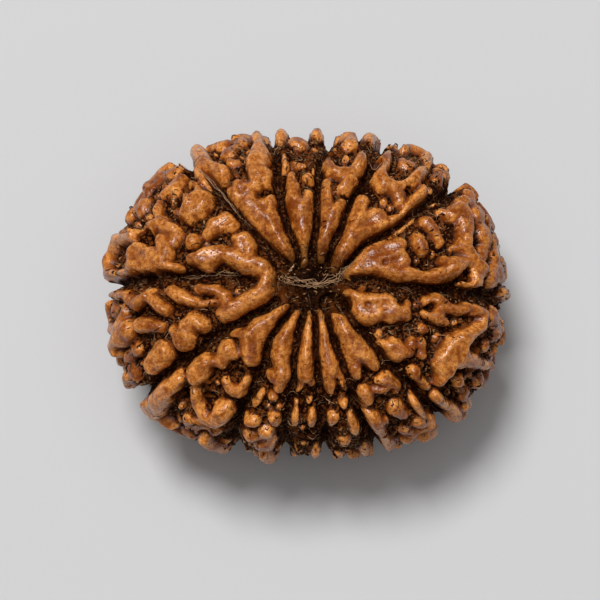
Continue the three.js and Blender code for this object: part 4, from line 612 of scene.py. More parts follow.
def link_knobs(knobs, furrows, draw):
    """Crooked ridges that join some knobs to their neighbours in the same lobe."""
    links = []
    counts = [0] * len(knobs)
    for i, first in enumerate(knobs):
        for j in range(i + 1, len(knobs)):
            second = knobs[j]
            far = math.dist(first.points[0], second.points[0]) > LINKS["reach"]
            if far or max(counts[i], counts[j]) >= LINKS["most"]:
                continue
            bend = np.array([next(draw) - 0.5 for _ in range(3)]) * LINKS["bend"]
            middle = first.directions[0] + second.directions[0]
            middle = middle / np.linalg.norm(middle) + bend
            middle /= np.linalg.norm(middle)
            neck = LINKS["neck"] * min(first.half_widths[0], second.half_widths[0])
            if next(draw) < LINKS["chance"] and is_clear(bed_point(middle[None])[0], neck, furrows, 0):
                counts[i] += 1
                counts[j] += 1
                links.append(Line(min(first.height, second.height),
                                  [first.directions[0], middle, second.directions[0]],
                                  [first.half_widths[0], neck, second.half_widths[0]]))
    return links


def body_profile(share):
    """A rounded cross-section, 1 on the middle line and 0 at its reach: the root of 1 - (share / reach)^n,
    a little domed."""
    return np.sqrt(1 - np.minimum(share / BODY_REACH, 1) ** BLUNTNESS) * (1 - CREST * np.minimum(share, 1) ** 2)


def profile(share):
    """A rounded body on a flared foot: a share of the body's profile, and the rest of (1 - t^2)^2, where t
    is the distance as a share of the foot's reach."""
    foot = (1 - np.minimum(share / FOOT_REACH, 1) ** 2) ** 2
    return BODY_SHARE * body_profile(share) + (1 - BODY_SHARE) * foot


class SeedForm:
    """The seed's whole form: what stands on its bed, and where each direction's surface point is."""

    def __init__(self):
        draw = draw_from(SEED)
        self.furrows = make_furrows(draw)
        ridges = []
        for height, *places in [ridge for lobe in LOBES.values() for ridge in lobe]:
            directions = [place_in_view(x, y, height + LOBE_HEIGHT, *z) for x, y, _, *z in places]
            ridges.append(Line(height, directions, [place[2] for place in places]))
        self.pits = [Line(depth, [place_in_view(x, y, RELIEF, *z)], [radius])
                     for x, y, radius, depth, *z in PITS]
        standing = ridges + make_petals(self.furrows)
        standing += make_ribs(self.furrows, self.furrows + standing, draw)
        knobs = draw_knobs(KNOBS, self.furrows + standing, draw)
        self.ridges = standing + knobs + link_knobs(knobs, self.furrows, draw)
        self.rubble = draw_knobs(RUBBLE, self.ridges + self.furrows + self.pits, draw)
        hole = [place_in_view(x, y, 0) for x, y in STEM_HOLE]
        self.pits.append(Line(STEM_HOLE_DEPTH, hole, [STEM_HOLE_HALF_WIDTH] * len(hole)))
        self.middle = np.zeros(3)
        self.fit = np.ones(3)

    def relief(self, directions, lines=None):
        """How far the surface stands over the bed: ridges joined by a power sum, on lobes that sink towards
        the furrows as a bell curve, less what furrows, pits and the hollows at the poles take away. Gives
        the height, the ridges' part of it, how near the middle of a ridge it is, the furrows' and pits'
        depth, and how far into a lobe it is. Given only some lines, it leaves out dimples and pores."""
        on_bed = bed_point(directions)
        points = on_bed + WANDER_SIZE * np.stack([noise(on_bed, WANDER_LENGTH, s) for s in WANDER_SHIFTS], 1)
        points += FINE_WANDER_SIZE * np.stack([noise(on_bed, FINE_WANDER_LENGTH, s)
                                               for s in FINE_WANDER_SHIFTS], 1)
        total, top = np.zeros(len(points)), np.zeros(len(points))
        for line in lines or self.ridges + self.rubble:
            near = line.within(points)
            share, half_width, _ = line.nearest(points[near])
            full = line.height * np.minimum(half_width / BROAD, 1) ** SLIMNESS
            wide = np.clip((half_width - DISH_FROM) / (DISH_FULL - DISH_FROM), 0, 1)
            dish = DISH_DEPTH * wide * (1 - np.minimum(share / DISH_REACH, 1) ** 2) ** 2
            total[near] += (full * profile(share) - dish) ** JOINING
            top[near] = np.maximum(top[near], body_profile(share))
        trench, apart = np.zeros(len(points)), np.full(len(points), LOBE_REACH)
        for line in self.furrows:
            near = line.within(points, LOBE_REACH)
            share, _, distance = line.nearest(points[near])
            trench[near] = np.maximum(trench[near], body_profile(share))
            apart[near] = np.minimum(apart[near], distance)
        pit = np.zeros(len(points))
        for line in self.pits:
            near = line.within(points)
            pit[near] = np.maximum(pit[near], line.height * body_profile(line.nearest(points[near])[0]))
        swell = 1 + SWELL_SHARE * noise(on_bed, SWELL_LENGTH, SWELL_SHIFT)
        ridge = total ** (1 / JOINING) * swell * (1 - FURROW_CUT * trench)
        bare = 1 - np.minimum(ridge / ROUGH_RIDGE, 1)
        vein = (1 - np.abs(noise(on_bed, VEIN_LENGTH, VEIN_SHIFT))) ** VEIN_SHARPNESS
        rough = sum(size * noise(on_bed, length, shift) for size, length, shift in ROUGHNESS)
        rough = bare * (rough + VEIN_SIZE * vein)
        dents = sum(size * noise(on_bed, length, shift) for size, length, shift in DENTS)
        if lines is None:
            dents -= (1 - bare) * sum(rule["depth"] * strewn(on_bed, rule) for rule in (DIMPLES, PORES))
        lobe = 1 - np.exp(-(apart / LOBE_WIDTH) ** 2)
        from_pole = np.hypot(points[:, 0] - np.where(directions[:, 2] > 0, POLE_X, 0), points[:, 1])
        hollow = HOLLOW_DEPTH * (1 - np.minimum(from_pole / HOLLOW_RADIUS, 1) ** 2) ** 2
        height = ridge + LOBE_HEIGHT * lobe + rough + dents - FURROW_DEPTH * trench - pit - hollow
        return np.maximum(height, DEEPEST), ridge, top * (1 - trench), trench, pit, lobe

    def surface_point(self, directions, height):
        """The point at a height over the bed, before the form is fitted to its size."""
        return bed_point(directions) + way_out(directions) * height[:, None]

    def fit_to_size(self, points):
        """Notes how points must be moved and stretched to fill the seed's sizes with the cut taken off."""
        low, high = points.min(0), points.max(0)
        self.middle = np.append((low + high)[:2] / 2, low[2])
        self.fit = np.array([LENGTH, WIDTH, HEIGHT + RESTING_CUT]) / (high - low)

    def fitted(self, points):
        """Points moved and stretched to the seed's place and size, and cut flat where it rests."""
        placed = (points - self.middle) * self.fit
        placed[:, 2] = np.maximum(placed[:, 2] - RESTING_CUT, 0)
        return placed


def cube_ball(cells):
    """A ball of square cells: each side of a cube is a grid of equal angles, u and v from -45 to 45 degrees,
    whose corners (1, tan u, tan v) are brought to length 1. Corners on the cube's edges are merged."""
    angles = np.tan(np.linspace(-np.pi / 4, np.pi / 4, cells + 1))
    u, v = np.meshgrid(angles, angles, indexing="ij")
    one = np.ones_like(u)
    sides = [(one, u, v), (-one, v, u), (v, one, u), (u, -one, v), (u, v, one), (v, u, -one)]
    corners = np.concatenate([np.stack([axis.ravel() for axis in side], 1) for side in sides])
    corners /= np.linalg.norm(corners, axis=1)[:, None]
    grid = np.arange((cells + 1) ** 2).reshape(cells + 1, cells + 1)
    cell = np.stack([grid[:-1, :-1], grid[1:, :-1], grid[1:, 1:], grid[:-1, 1:]], -1).reshape(-1, 4)
    quads = np.concatenate([cell + side * (cells + 1) ** 2 for side in range(6)])
    keys = np.round(corners * 1e6).astype(np.int64)
    _, first, merged = np.unique(keys, axis=0, return_index=True, return_inverse=True)
    return corners[first], merged.ravel()[quads]


def edges_of(quads):
    """Each edge of a closed surface of quads, once, as its two corners."""
    edges = np.concatenate([quads[:, [side, (side + 1) % 4]] for side in range(4)])
    return edges[edges[:, 0] < edges[:, 1]]


def spread(edges, weights, values):
    """For each corner, the sum over its edges of weight times what its neighbour's value has over its own."""
    pull = (values[edges[:, 1]] - values[edges[:, 0]]) * weights[:, None]
    total = np.empty_like(values)
    for axis in range(values.shape[1]):
        total[:, axis] = (np.bincount(edges[:, 0], pull[:, axis], len(values))
                          - np.bincount(edges[:, 1], pull[:, axis], len(values)))
    return total


def slide_corners(form, directions, edges):
    """Corners slide over the ball towards their longer edges, so that steep places get more of them: each
    moves a share of the way to its neighbours' average, weighted by the edges' length on the surface."""
    for _ in range(SLIDING_PASSES):
        points = form.surface_point(directions, form.relief(directions, form.ridges)[0])
        weights = np.linalg.norm(points[edges[:, 0]] - points[edges[:, 1]], axis=1)
        sums = np.bincount(edges.ravel(), np.repeat(weights, 2), len(directions))
        directions = directions + SLIDING_SHARE * spread(edges, weights, directions) / sums[:, None]
        directions /= np.linalg.norm(directions, axis=1)[:, None]
    return directions


def crevice_depth(points, outwards, edges, passes):
    """How deep each corner lies in a crevice: how far out the corners round it stand, once the surface has
    been smoothed a number of times by averaging neighbours. It is below nothing on a crest."""
    counts = np.bincount(edges.ravel(), minlength=len(points))[:, None]
    even = np.ones(len(edges))
    smooth = points
    for _ in range(passes):
        smooth = smooth + 0.8 * spread(edges, even, smooth) / counts
    return ((smooth - points) * outwards).sum(1)


# The stage, in millimetres: a wide disk light high behind the left, a wider one overhead, and a long lens over
# the front.
FLOOR_HALF_SIZE = 1500
KEY_SIZE, KEY_PLACE = 300, (-170, 300, 940)
OVERHEAD_SIZE, OVERHEAD_PLACE = 1200, (0, 0, 1000)
CAMERA_LENS, CAMERA_SENSOR = 190, 36
CAMERA_TARGET = (-0.5, -0.3, 10.5)

# How deep a crevice shows at two scales, in smoothing passes, and the depth in millimetres that counts as
# one on the mesh. The shell's colour is darker in deep crevices, partly as dirt and partly as painted shade.
NARROW_PASSES, WIDE_PASSES = 6, 40
NARROW_DEPTH, WIDE_DEPTH = 0.1, 0.5

# Fibres and crumbs: each is a tapering thread of a few stations with three sides.
FIBRE_SIDES = 3
FIBRES = {"stations": 7, "down": (8, 168), "short": 0.4, "long": 1.3, "bare": 0.5, "lift": 0.1,
          "climb": 0.25, "curl": 1.0, "thin": 0.015, "thick": 0.035, "pale": 2.4}
CRUMBS = {"stations": 4, "down": (4, 172), "short": 0.12, "long": 0.42, "bare": 0.6, "lift": 0.06,
          "climb": 0.25, "curl": 0.8, "thin": 0.035, "thick": 0.09, "pale": 3.2}
DARK_SHARE = 0.4

# Longer threads that lie in the furrows, and the bridge of fibre over the hollow: [x, y] in the view, then
# half-thickness, lift over the bed, paleness, how many strands, and how far each wanders.
THREADS = {
    "back_left_suture": ([[-9.2, 8.4], [-8.3, 7.9], [-7.2, 7.0], [-6.2, 5.8], [-5.3, 4.7], [-4.4, 4.1]],
                         0.018, 0.2, 2.0, 3, 0.05),
    "bridge": ([[-2.6, 0.4], [-1.8, 0.4], [-1.0, 0.3], [-0.3, 0.1], [0.3, 0.05], [1.3, 0.3], [2.3, 1.1],
                [3.3, 1.9]], 0.024, 0.3, 1.2, 7, 0.24),
    "left_suture": ([[-4.6, 0.7], [-6.0, 0.75], [-7.4, 0.7], [-9.0, 0.62], [-10.4, 0.6]],
                    0.016, 0.12, 1.4, 3, 0.1),
    "fleck": ([[-1.95, 1.0], [-1.7, 1.25], [-1.5, 1.6]], 0.05, 0.55, 2.0, 2, 0.05),
}
THREAD_STATIONS = 28


def store(mesh, name, values):
    """Keeps one number for each corner of a mesh as an attribute that its material reads."""
    mesh.attributes.new(name, "FLOAT", "POINT").data.foreach_set("value", np.asarray(values, np.float32))


def make_piece(name, points, faces, material):
    """Makes a smooth mesh object from points in millimetres, at the origin, with its material."""
    mesh = bpy.data.meshes.new(name)
    mesh.from_pydata((points * MM).tolist(), [], faces)
    mesh.polygons.foreach_set("use_smooth", np.ones(len(mesh.polygons), bool))
    mesh.materials.append(material)
    mesh.validate()
    piece = bpy.data.objects.new(name, mesh)
    bpy.context.scene.collection.objects.link(piece)
    return piece


class Value:
    """A socket in a material's node tree that can stand in an expression: each operator adds a Math node."""

    def __init__(self, recipe, socket):
        self.recipe = recipe
        self.socket = socket

    def math(self, operation, *others):
        """A Math node on this value and others."""
        inputs = dict(enumerate((self, *others)))
        return self.recipe.node("ShaderNodeMath", {"operation": operation}, inputs)

    def __add__(self, other):
        return self.math("ADD", other)

    def __sub__(self, other):
        return self.math("SUBTRACT", other)

    def __rsub__(self, other):
        return self.recipe.node("ShaderNodeMath", {"operation": "SUBTRACT"}, {0: other, 1: self})

    def __mul__(self, other):
        return self.math("MULTIPLY", other)

    def __truediv__(self, other):
        return self.math("DIVIDE", other)

    __radd__ = __add__
    __rmul__ = __mul__

    def rising(self, low, high):
        """0 below the low value, 1 above the high one, and smooth in between."""
        settings = {"interpolation_type": "SMOOTHSTEP"}
        inputs = {"Value": self, "From Min": low, "From Max": high}
        return self.recipe.node("ShaderNodeMapRange", settings, inputs)


class Recipe:
    """A material and the nodes that make it, with a Principled shader at its end."""

    def __init__(self, name):
        self.material = bpy.data.materials.new(name)
        self.material.use_nodes = True
        self.tree = self.material.node_tree
        self.shader = self.tree.nodes["Principled BSDF"]
        self.place = self.node("ShaderNodeTexCoord", {}, {}, "Object")

    def node(self, kind, settings, inputs, output=0):
        """Adds a node, sets its settings and then its sockets, and gives its output as a Value."""
        node = self.tree.nodes.new(kind)
        for name, setting in settings.items():
            setattr(node, name, setting)
        for name, value in inputs.items():
            self.feed(node.inputs[name], value)
        return Value(self, node.outputs[output])

    def feed(self, socket, value):
        """Links a Value to a socket, or sets the socket to a plain number or colour."""
        if isinstance(value, Value):
            self.tree.links.new(value.socket, socket)
        elif hasattr(value, "__len__"):
            socket.default_value = (*value, 1) if len(value) == 3 and len(socket.default_value) == 4 else value
        else:
            socket.default_value = value

    def attribute(self, name):
        """A number kept on the mesh."""
        return self.node("ShaderNodeAttribute", {"attribute_name": name}, {}, "Fac")

    def noise(self, size, detail=3, roughness=0.5, distortion=0):
        """Fractal noise around 0.5 whose features have a size in millimetres."""
        inputs = {"Vector": self.place, "Scale": 1 / (size * MM), "Detail": detail, "Roughness": roughness,
                  "Distortion": distortion}
        return self.node("ShaderNodeTexNoise", {}, inputs, "Fac")

    def cells(self, size, output="Distance", feature="F1"):
        """Cells of a size in millimetres: the distance from each cell's own point, or a colour per cell."""
        inputs = {"Vector": self.place, "Scale": 1 / (size * MM)}
        return self.node("ShaderNodeTexVoronoi", {"feature": feature}, inputs, output)

    def mixed(self, factor, first, second):
        """One colour turning into another as the factor goes from 0 to 1."""
        return self.node("ShaderNodeMix", {"data_type": "RGBA"}, {0: factor, 6: first, 7: second}, 2)

    def bump(self, height):
        """A Bump node for a height in millimetres."""
        return self.node("ShaderNodeBump", {}, {"Strength": 1, "Distance": MM, "Height": height})


def make_shell_material(finish):
    """The stone: waxed ridges with golden crests, red-brown patches and flanks, dark pores, cracks and
    crevices, and between them a dull, nearly black bed of brown flakes. The crests are lighter partly by wear
    and partly as painted light, and the lower flanks and the crevices darker partly by stain and partly as
    painted shade. One shader is waxed and the other dull, mixed by how far up a ridge the surface is."""
    recipe = Recipe("seed_shell")
    stand, top, narrow, wide = [recipe.attribute(name) for name in ("stand", "top", "narrow", "wide")]
    pole, lobe = recipe.attribute("pole"), recipe.attribute("lobe")
    patch = recipe.noise(3.2, 3, 0.55)
    mottle = recipe.noise(0.9, 4, 0.6)
    grain = recipe.noise(0.3, 3, 0.6)
    speckle = recipe.noise(0.14, 2, 0.6)
    flake = recipe.cells(0.2, "Color")
    standing = (top + (mottle - 0.5) * 0.6 + (grain - 0.5) * 0.5).rising(0.12, 0.5)
    tone = (patch - 0.5) * 1.2 + (mottle - 0.5) * 1.1 + (grain - 0.5) * 0.8 + (speckle - 0.5) * 0.4
    # Crest mask: lighter towards high, convex ridge middles and darker down the flanks near crevices; partly wear,
    # partly painted light on the crests and painted shade on the lower flanks.
    crest = (stand * 0.45 + top * 0.35 - narrow * (1 - top) * 1.1 + tone).rising(0.4, 1.3)
    # The stain colour laid into crevices by their depth on the mesh: partly dirt, partly painted shade.
    crevice_dirt_and_shade = (wide + narrow * 0.5 + (grain - 0.5) * 0.8).rising(0.05, 0.8) * (1 - top * 0.75)
    chip = (flake + (grain - 0.5) * 0.6 + (patch - 0.5) * 0.6 + lobe * 0.06).rising(0.58, 0.75)
    open_ground = lobe * (mottle + patch * 0.8 - wide * 0.3).rising(0.85, 1.25)
    earth = recipe.mixed(open_ground, finish.bed_colour, finish.flank_colour)
    bed = recipe.mixed(chip * (lobe * 0.5 + 0.5), earth, finish.crumb_colour)
    # The flanks' darker tone, which the crest mask puts low on the ridges, partly as painted shade.
    side = recipe.mixed((mottle + patch * 0.6).rising(0.62, 1.0), finish.flank_colour, finish.ridge_colour)
    # The crests' bright tone, from ridge to crest colour by grain: partly wear, partly painted highlight.
    crest_wear_and_light_tone = recipe.mixed((grain * 0.55 + mottle * 0.3 + speckle * 0.15).rising(0.35, 0.62),
                        finish.ridge_colour, finish.crest_wear_and_light_colour)
    wood = recipe.mixed(crest, side, crest_wear_and_light_tone)
    # Crevices take the dark stain colour, as dirt and as painted shade.
    stained_and_shaded = recipe.mixed(crevice_dirt_and_shade * 0.9, wood, finish.stain_and_shade_colour)
    crack = (recipe.noise(1.3, 3, 0.6, 1.2) - 0.5).math("ABSOLUTE").rising(0.0, 0.022)
    scratched = recipe.mixed((1 - crack) * mottle.rising(0.5, 0.65) * 0.25, stained_and_shaded, finish.stain_and_shade_colour)
    rare = recipe.noise(1.1, 2).rising(0.42, 0.6)
    pitted = (0.28 - recipe.cells(0.3)).rising(0, 0.2) * rare
    specked = (speckle + grain * 0.6 + mottle * 0.3).rising(1.08, 1.2)
    pored = recipe.mixed(pitted.math("MAXIMUM", specked) * 0.75, scratched, finish.stain_and_shade_colour)
    ground = recipe.mixed(standing, bed, pored)
    dark = recipe.mixed(pole * 0.95, ground, finish.pit_colour)
    height = (mottle * 0.06 + grain * 0.05 + speckle * 0.02 - pitted * 0.05 - specked * 0.03) * standing
    height = height + (flake * 0.12 + grain * 0.1) * (1 - standing)
    bumped = recipe.bump(height)
    waxed = recipe.shader.inputs
    recipe.feed(waxed["Base Color"], dark)
    recipe.feed(waxed["Roughness"], finish.wax_roughness + (grain - 0.5) * 0.35 + crevice_dirt_and_shade * 0.3)
    recipe.feed(waxed["Normal"], bumped)
    waxed["Specular IOR Level"].default_value = finish.wax
    dull = recipe.node("ShaderNodeBsdfPrincipled", {}, {"Base Color": dark, "Normal": bumped,
                                                        "Roughness": 0.7, "Specular IOR Level": 0.04})
    gloss = recipe.node("ShaderNodeMixShader", {}, {0: standing, 1: dull, 2: Value(recipe, recipe.shader.outputs[0])})
    recipe.feed(recipe.tree.nodes["Material Output"].inputs["Surface"], gloss)
    return recipe.material


def make_fibre_material(name, dark, pale):
    """Dry threads or crumbs, from a dark to a pale colour by each one's own paleness."""
    recipe = Recipe(name)
    tone = recipe.attribute("pale") + (recipe.noise(0.3) - 0.5) * 0.5 + (recipe.noise(3.2, 3, 0.55) - 0.5) * 0.9
    recipe.feed(recipe.shader.inputs["Base Color"], recipe.mixed(tone, dark, pale))
    recipe.shader.inputs["Roughness"].default_value = 0.6
    recipe.shader.inputs["Specular IOR Level"].default_value = 0.08
    return recipe.material


def make_floor_material(colour):
    """Matt pale paper."""
    recipe = Recipe("stage_paper")
    recipe.feed(recipe.shader.inputs["Base Color"], colour)
    recipe.shader.inputs["Roughness"].default_value = 0.9
    recipe.shader.inputs["Specular IOR Level"].default_value = 0.1
    return recipe.material


def lay_threads(form, paths, half_thickness, lift, climb):
    """Threads along paths of directions, an array of fibres by stations by 3. Each station lies at a lift
    over the surface that rises and falls as the square root of the sine of the way along, and never climbs
    past its first station by more than a limit, so that a thread goes into a ridge and not over it. Round
    each station stands a ring of corners that tapers to a point at both ends."""
    count, stations, _ = paths.shape
    flat = paths.reshape(-1, 3)
    height = form.relief(flat)[0].reshape(count, stations)
    height = np.minimum(height, height[:, :1] + climb)
    along = np.linspace(0, 1, stations)
    arch = np.sqrt(np.sin(np.pi * along))
    height = height + (lift[:, None] + half_thickness[:, None]) * arch - 0.5 * half_thickness[:, None]
    spine = form.fitted(form.surface_point(flat, height.ravel())).reshape(count, stations, 3)
    spine[..., 2] = np.maximum(spine[..., 2], half_thickness[:, None])
    ahead = np.gradient(spine, axis=1)
    ahead /= np.maximum(np.linalg.norm(ahead, axis=2), 1e-9)[..., None]
    outwards = way_out(flat).reshape(count, stations, 3)
    across = np.cross(ahead, outwards)
    across /= np.maximum(np.linalg.norm(across, axis=2), 1e-9)[..., None]
    upright = np.cross(across, ahead)
    turns = 2 * np.pi * np.arange(FIBRE_SIDES) / FIBRE_SIDES
    taper = np.sqrt(np.sin(np.pi * along[1:-1]))
    radius = half_thickness[:, None, None, None] * taper[None, :, None, None]
    ring = (np.cos(turns)[:, None] * across[:, 1:-1, None] + np.sin(turns)[:, None] * upright[:, 1:-1, None])
    rings = (spine[:, 1:-1, None] + radius * ring).reshape(count, -1, 3)
    points = np.concatenate([spine[:, :1], rings, spine[:, -1:]], 1)
    place = 1 + np.arange((stations - 2) * FIBRE_SIDES).reshape(stations - 2, FIBRE_SIDES)
    beside = np.roll(place, -1, axis=1)
    sides = np.stack([place[:-1], place[1:], beside[1:], beside[:-1]], -1).reshape(-1, 4)
    last = np.full(FIBRE_SIDES, points.shape[1] - 1)
    start = np.stack([last * 0, place[0], beside[0]], -1)
    end = np.stack([last, beside[-1], place[-1]], -1)
    shift = points.shape[1] * np.arange(count)[:, None, None]
    faces = [group for part in (sides, start, end) for group in (shift + part).reshape(-1, part.shape[1]).tolist()]
    return points.reshape(-1, 3), faces, points.shape[1]


def draw_paths(form, rule, count, chance):
    """Short paths strewn over the bed where no ridge stands: each starts in a drawn direction, sets off at
    a drawn bearing and turns as it goes, by a drawn curl."""
    low, high = [math.cos(math.radians(down)) for down in rule["down"]]
    upright = chance.uniform(high, low, 6 * count)
    bearing = chance.uniform(0, 2 * np.pi, 6 * count)
    sideways = np.sqrt(1 - upright ** 2)
    starts = np.stack([sideways * np.cos(bearing), sideways * np.sin(bearing), upright], 1)
    starts = starts[form.relief(starts)[1] < rule["bare"]][:count]
    first = np.cross(starts, [0, 0, 1])
    first /= np.linalg.norm(first, axis=1)[:, None]
    second = np.cross(starts, first)
    length = chance.uniform(rule["short"], rule["long"], len(starts)) / BED.mean()
    heading = chance.uniform(0, 2 * np.pi, len(starts))
    curl = chance.normal(0, rule["curl"], len(starts))
    along = np.linspace(0, 1, rule["stations"])
    angle = heading[:, None] + curl[:, None] * along
    steps = length[:, None] / (rule["stations"] - 1)
    right = np.cumsum(np.cos(angle) * steps, 1)
    ahead = np.cumsum(np.sin(angle) * steps, 1)
    paths = starts[:, None] + right[..., None] * first[:, None] + ahead[..., None] * second[:, None]
    return paths / np.linalg.norm(paths, axis=2)[..., None]


def strew(form, rule, count, chance):
    """Threads laid along drawn paths, with drawn thicknesses, lifts and paleness, darker in the furrows."""
    paths = draw_paths(form, rule, count, chance)
    half_thickness = chance.uniform(rule["thin"], rule["thick"], len(paths))
    lift = chance.uniform(0, rule["lift"], len(paths))
    lobe = form.relief(paths[:, 0])[5]
    paleness = chance.uniform(0, 1, len(paths)) ** rule["pale"] * (DARK_SHARE + (1 - DARK_SHARE) * lobe)
    return lay_threads(form, paths, half_thickness, lift, rule["climb"]), paleness


def build_shell(settings, finish):
    """The seed's whole surface as one closed piece, with what its material reads at each corner."""
    form = SeedForm()
    directions, quads = cube_ball(settings.side_cells)
    edges = edges_of(quads)
    directions = slide_corners(form, directions, edges)
    height, ridge, top, trench, pit, lobe = form.relief(directions)
    raw = form.surface_point(directions, height)
    form.fit_to_size(raw)
    points = form.fitted(raw)
    outwards = way_out(directions)
    piece = make_piece("seed_shell", points, quads.tolist(), make_shell_material(finish))
    from_pole = np.hypot(raw[:, 0] - POLE_X, raw[:, 1]) / HOLLOW_RADIUS
    store(piece.data, "stand", (ridge - pit) / RIDGE_HEIGHT)
    store(piece.data, "top", top - pit)
    store(piece.data, "lobe", lobe * (1 - trench))
    # Crevice depth at two scales, which the material turns into darker colour, partly as painted shade.
    store(piece.data, "narrow", crevice_depth(points, outwards, edges, NARROW_PASSES) / NARROW_DEPTH)
    store(piece.data, "wide", crevice_depth(points, outwards, edges, WIDE_PASSES) / WIDE_DEPTH)
    store(piece.data, "pole", np.where(directions[:, 2] > 0, np.maximum(1 - from_pole ** 2, 0), 0))
    return form, piece


def join_threads(name, groups, material):
    """Makes one piece of several groups of threads, each with its threads' paleness."""
    points, faces, pale = [], [], []
    for (corners, sides, each), paler in groups:
        shift = sum(len(part) for part in points)
        points.append(corners)
        faces += [[corner + shift for corner in side] for side in sides]
        pale.append(np.repeat(paler, each))
    piece = make_piece(name, np.concatenate(points), faces, material)
    store(piece.data, "pale", np.concatenate(pale))
    return piece


def crooked(path, strands, wander, chance):
    """Strands along a path of directions: stations evenly between its places, each moved by a drawn wander
    that is averaged with its neighbours'."""
    along = np.linspace(0, len(path) - 1, THREAD_STATIONS)
    middle = np.stack([np.interp(along, np.arange(len(path)), path[:, axis]) for axis in range(3)], 1)
    moved = chance.normal(0, 2 * wander / BED.mean(), (strands, THREAD_STATIONS + 4, 3))
    moved = sum(moved[:, start:start + THREAD_STATIONS] for start in range(5)) / 5
    paths = middle + moved
    return paths / np.linalg.norm(paths, axis=2)[..., None]


def build_fibres(form, settings, finish):
    """All fibres and threads as one piece."""
    chance = np.random.default_rng(SEED)
    groups = [strew(form, FIBRES, settings.fibre_count, chance)]
    for places, thickness, raised, pale, strands, wander in THREADS.values():
        paths = crooked(np.array([place_in_view(x, y, 0) for x, y in places]), strands, wander, chance)
        lift = raised * chance.uniform(0.6, 1.2, strands)
        thread = lay_threads(form, paths, np.full(strands, thickness), lift, 9)
        groups.append((thread, pale * chance.uniform(0.6, 1, strands)))
    colours = finish.fibre_dark_colour, finish.fibre_pale_colour
    return join_threads("seed_fibres", groups, make_fibre_material("seed_fibre", *colours))


def build_crumbs(form, settings, finish):
    """All crumbs of dry flesh on the bed as one piece."""
    groups = [strew(form, CRUMBS, settings.crumb_count, np.random.default_rng(SEED + 1))]
    colours = finish.bed_colour, finish.flake_colour
    return join_threads("seed_crumbs", groups, make_fibre_material("seed_crumb", *colours))


def colour_property(name, description, default):
    """A colour that a user can change."""
    return bpy.props.FloatVectorProperty(name=name, description=description, default=default, size=3,
                                         subtype="COLOR", min=0, max=1)


class SeedDetail(bpy.types.PropertyGroup):
    """How fine the seed's surface and fibres are."""

    side_cells: bpy.props.IntProperty(
        name="Cells along a side", description="Cells along each side of the ball that the seed is made from",
        default=SIDE_CELLS, min=16, max=128)
    fibre_count: bpy.props.IntProperty(
        name="Fibres", description="Short fibres strewn over the bed", default=3600, min=0, max=6000)
    crumb_count: bpy.props.IntProperty(
        name="Crumbs", description="Crumbs of dry flesh strewn over the bed", default=15000, min=0, max=16000)


class SeedFinish(bpy.types.PropertyGroup):
    """The seed's colours and its gloss."""

    # Bright golden tone of the crests, partly wear and partly painted highlight.
    crest_wear_and_light_colour: colour_property("Crests", "Worn tops of the ridges", (0.93, 0.375, 0.08))
    ridge_colour: colour_property("Ridges", "Ridges and knobs", (0.38, 0.094, 0.007))
    # Darker red-brown that the crest mask gives the lower flanks, partly as painted shade; also the brown of open
    # ground in the bed.
    flank_colour: colour_property("Flanks", "Redder sides of the ridges", (0.22, 0.045, 0.003))
    # Dark colour of stains, cracks and pores, also laid in crevices as painted shade.
    stain_and_shade_colour: colour_property("Stain", "Dark stain in crevices", (0.07, 0.016, 0.003))
    bed_colour: colour_property("Bed", "The bed between the ridges", (0.016, 0.003, 0.0007))
    crumb_colour: colour_property("Bed's flakes", "Brown flakes in the bed's surface", (0.17, 0.047, 0.009))
    pit_colour: colour_property("Pits", "Pits, pores and the hollow", (0.006, 0.0018, 0.0006))
    flake_colour: colour_property("Crumbs", "The palest crumbs on the bed", (0.46, 0.24, 0.1))
    fibre_dark_colour: colour_property("Dark fibres", "The darkest fibres", (0.05, 0.014, 0.004))
    fibre_pale_colour: colour_property("Pale fibres", "The palest fibres", (0.6, 0.36, 0.19))
    wax: bpy.props.FloatProperty(
        name="Wax", description="Strength of the waxed ridges' reflections", default=0.5, min=0, max=1,
        subtype="FACTOR")
    wax_roughness: bpy.props.FloatProperty(
        name="Wax roughness", description="How dull the wax is", default=0.22, min=0, max=1, subtype="FACTOR")


class StageSettings(bpy.types.PropertyGroup):
    """The floor, the light and the camera."""

    floor_colour: colour_property("Floor", "The paper that the seed lies on", (0.635, 0.635, 0.64))
    key_power: bpy.props.FloatProperty(
        name="Key light", description="Power of the soft light high behind the left", default=7.8, min=0,
        unit="POWER")
    overhead_power: bpy.props.FloatProperty(
        name="Overhead light", description="Power of the wide light overhead", default=2.9, min=0, unit="POWER")
    fill_strength: bpy.props.FloatProperty(
        name="Fill", description="Strength of the even light from all round", default=0.1, min=0)
    elevation: bpy.props.FloatProperty(
        name="Camera elevation", description="How far the camera stands above the horizon",
        default=VIEW_ELEVATION, min=0, max=math.pi / 2, subtype="ANGLE", unit="ROTATION")
    frame_width: bpy.props.FloatProperty(
        name="Frame width", description="Width of the picture at the seed", default=0.0484, min=0.01,
        unit="LENGTH")


forms = {}


class SEED_OT_build_shell(bpy.types.Operator):
    """Build the seed's fine surface in place of its plain solid"""

    bl_idname = "seed.build_shell"
    bl_label = "Build shell"

    def execute(self, context):
        scene = context.scene
        forms["seed"], piece = build_shell(scene.seed_detail, scene.seed_finish)
        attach(piece, "root")
        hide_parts("rudraksha_seed")
        return {"FINISHED"}


class SEED_OT_lay_fibres(bpy.types.Operator):
    """Lay the fibres on the seed's bed and in its furrows"""

    bl_idname = "seed.lay_fibres"
    bl_label = "Lay fibres"

    def execute(self, context):
        if "seed" not in forms:
            raise RuntimeError("the shell must be built before its fibres")
        scene = context.scene
        piece = build_fibres(forms["seed"], scene.seed_detail, scene.seed_finish)
        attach(piece, "root")
        return {"FINISHED"}


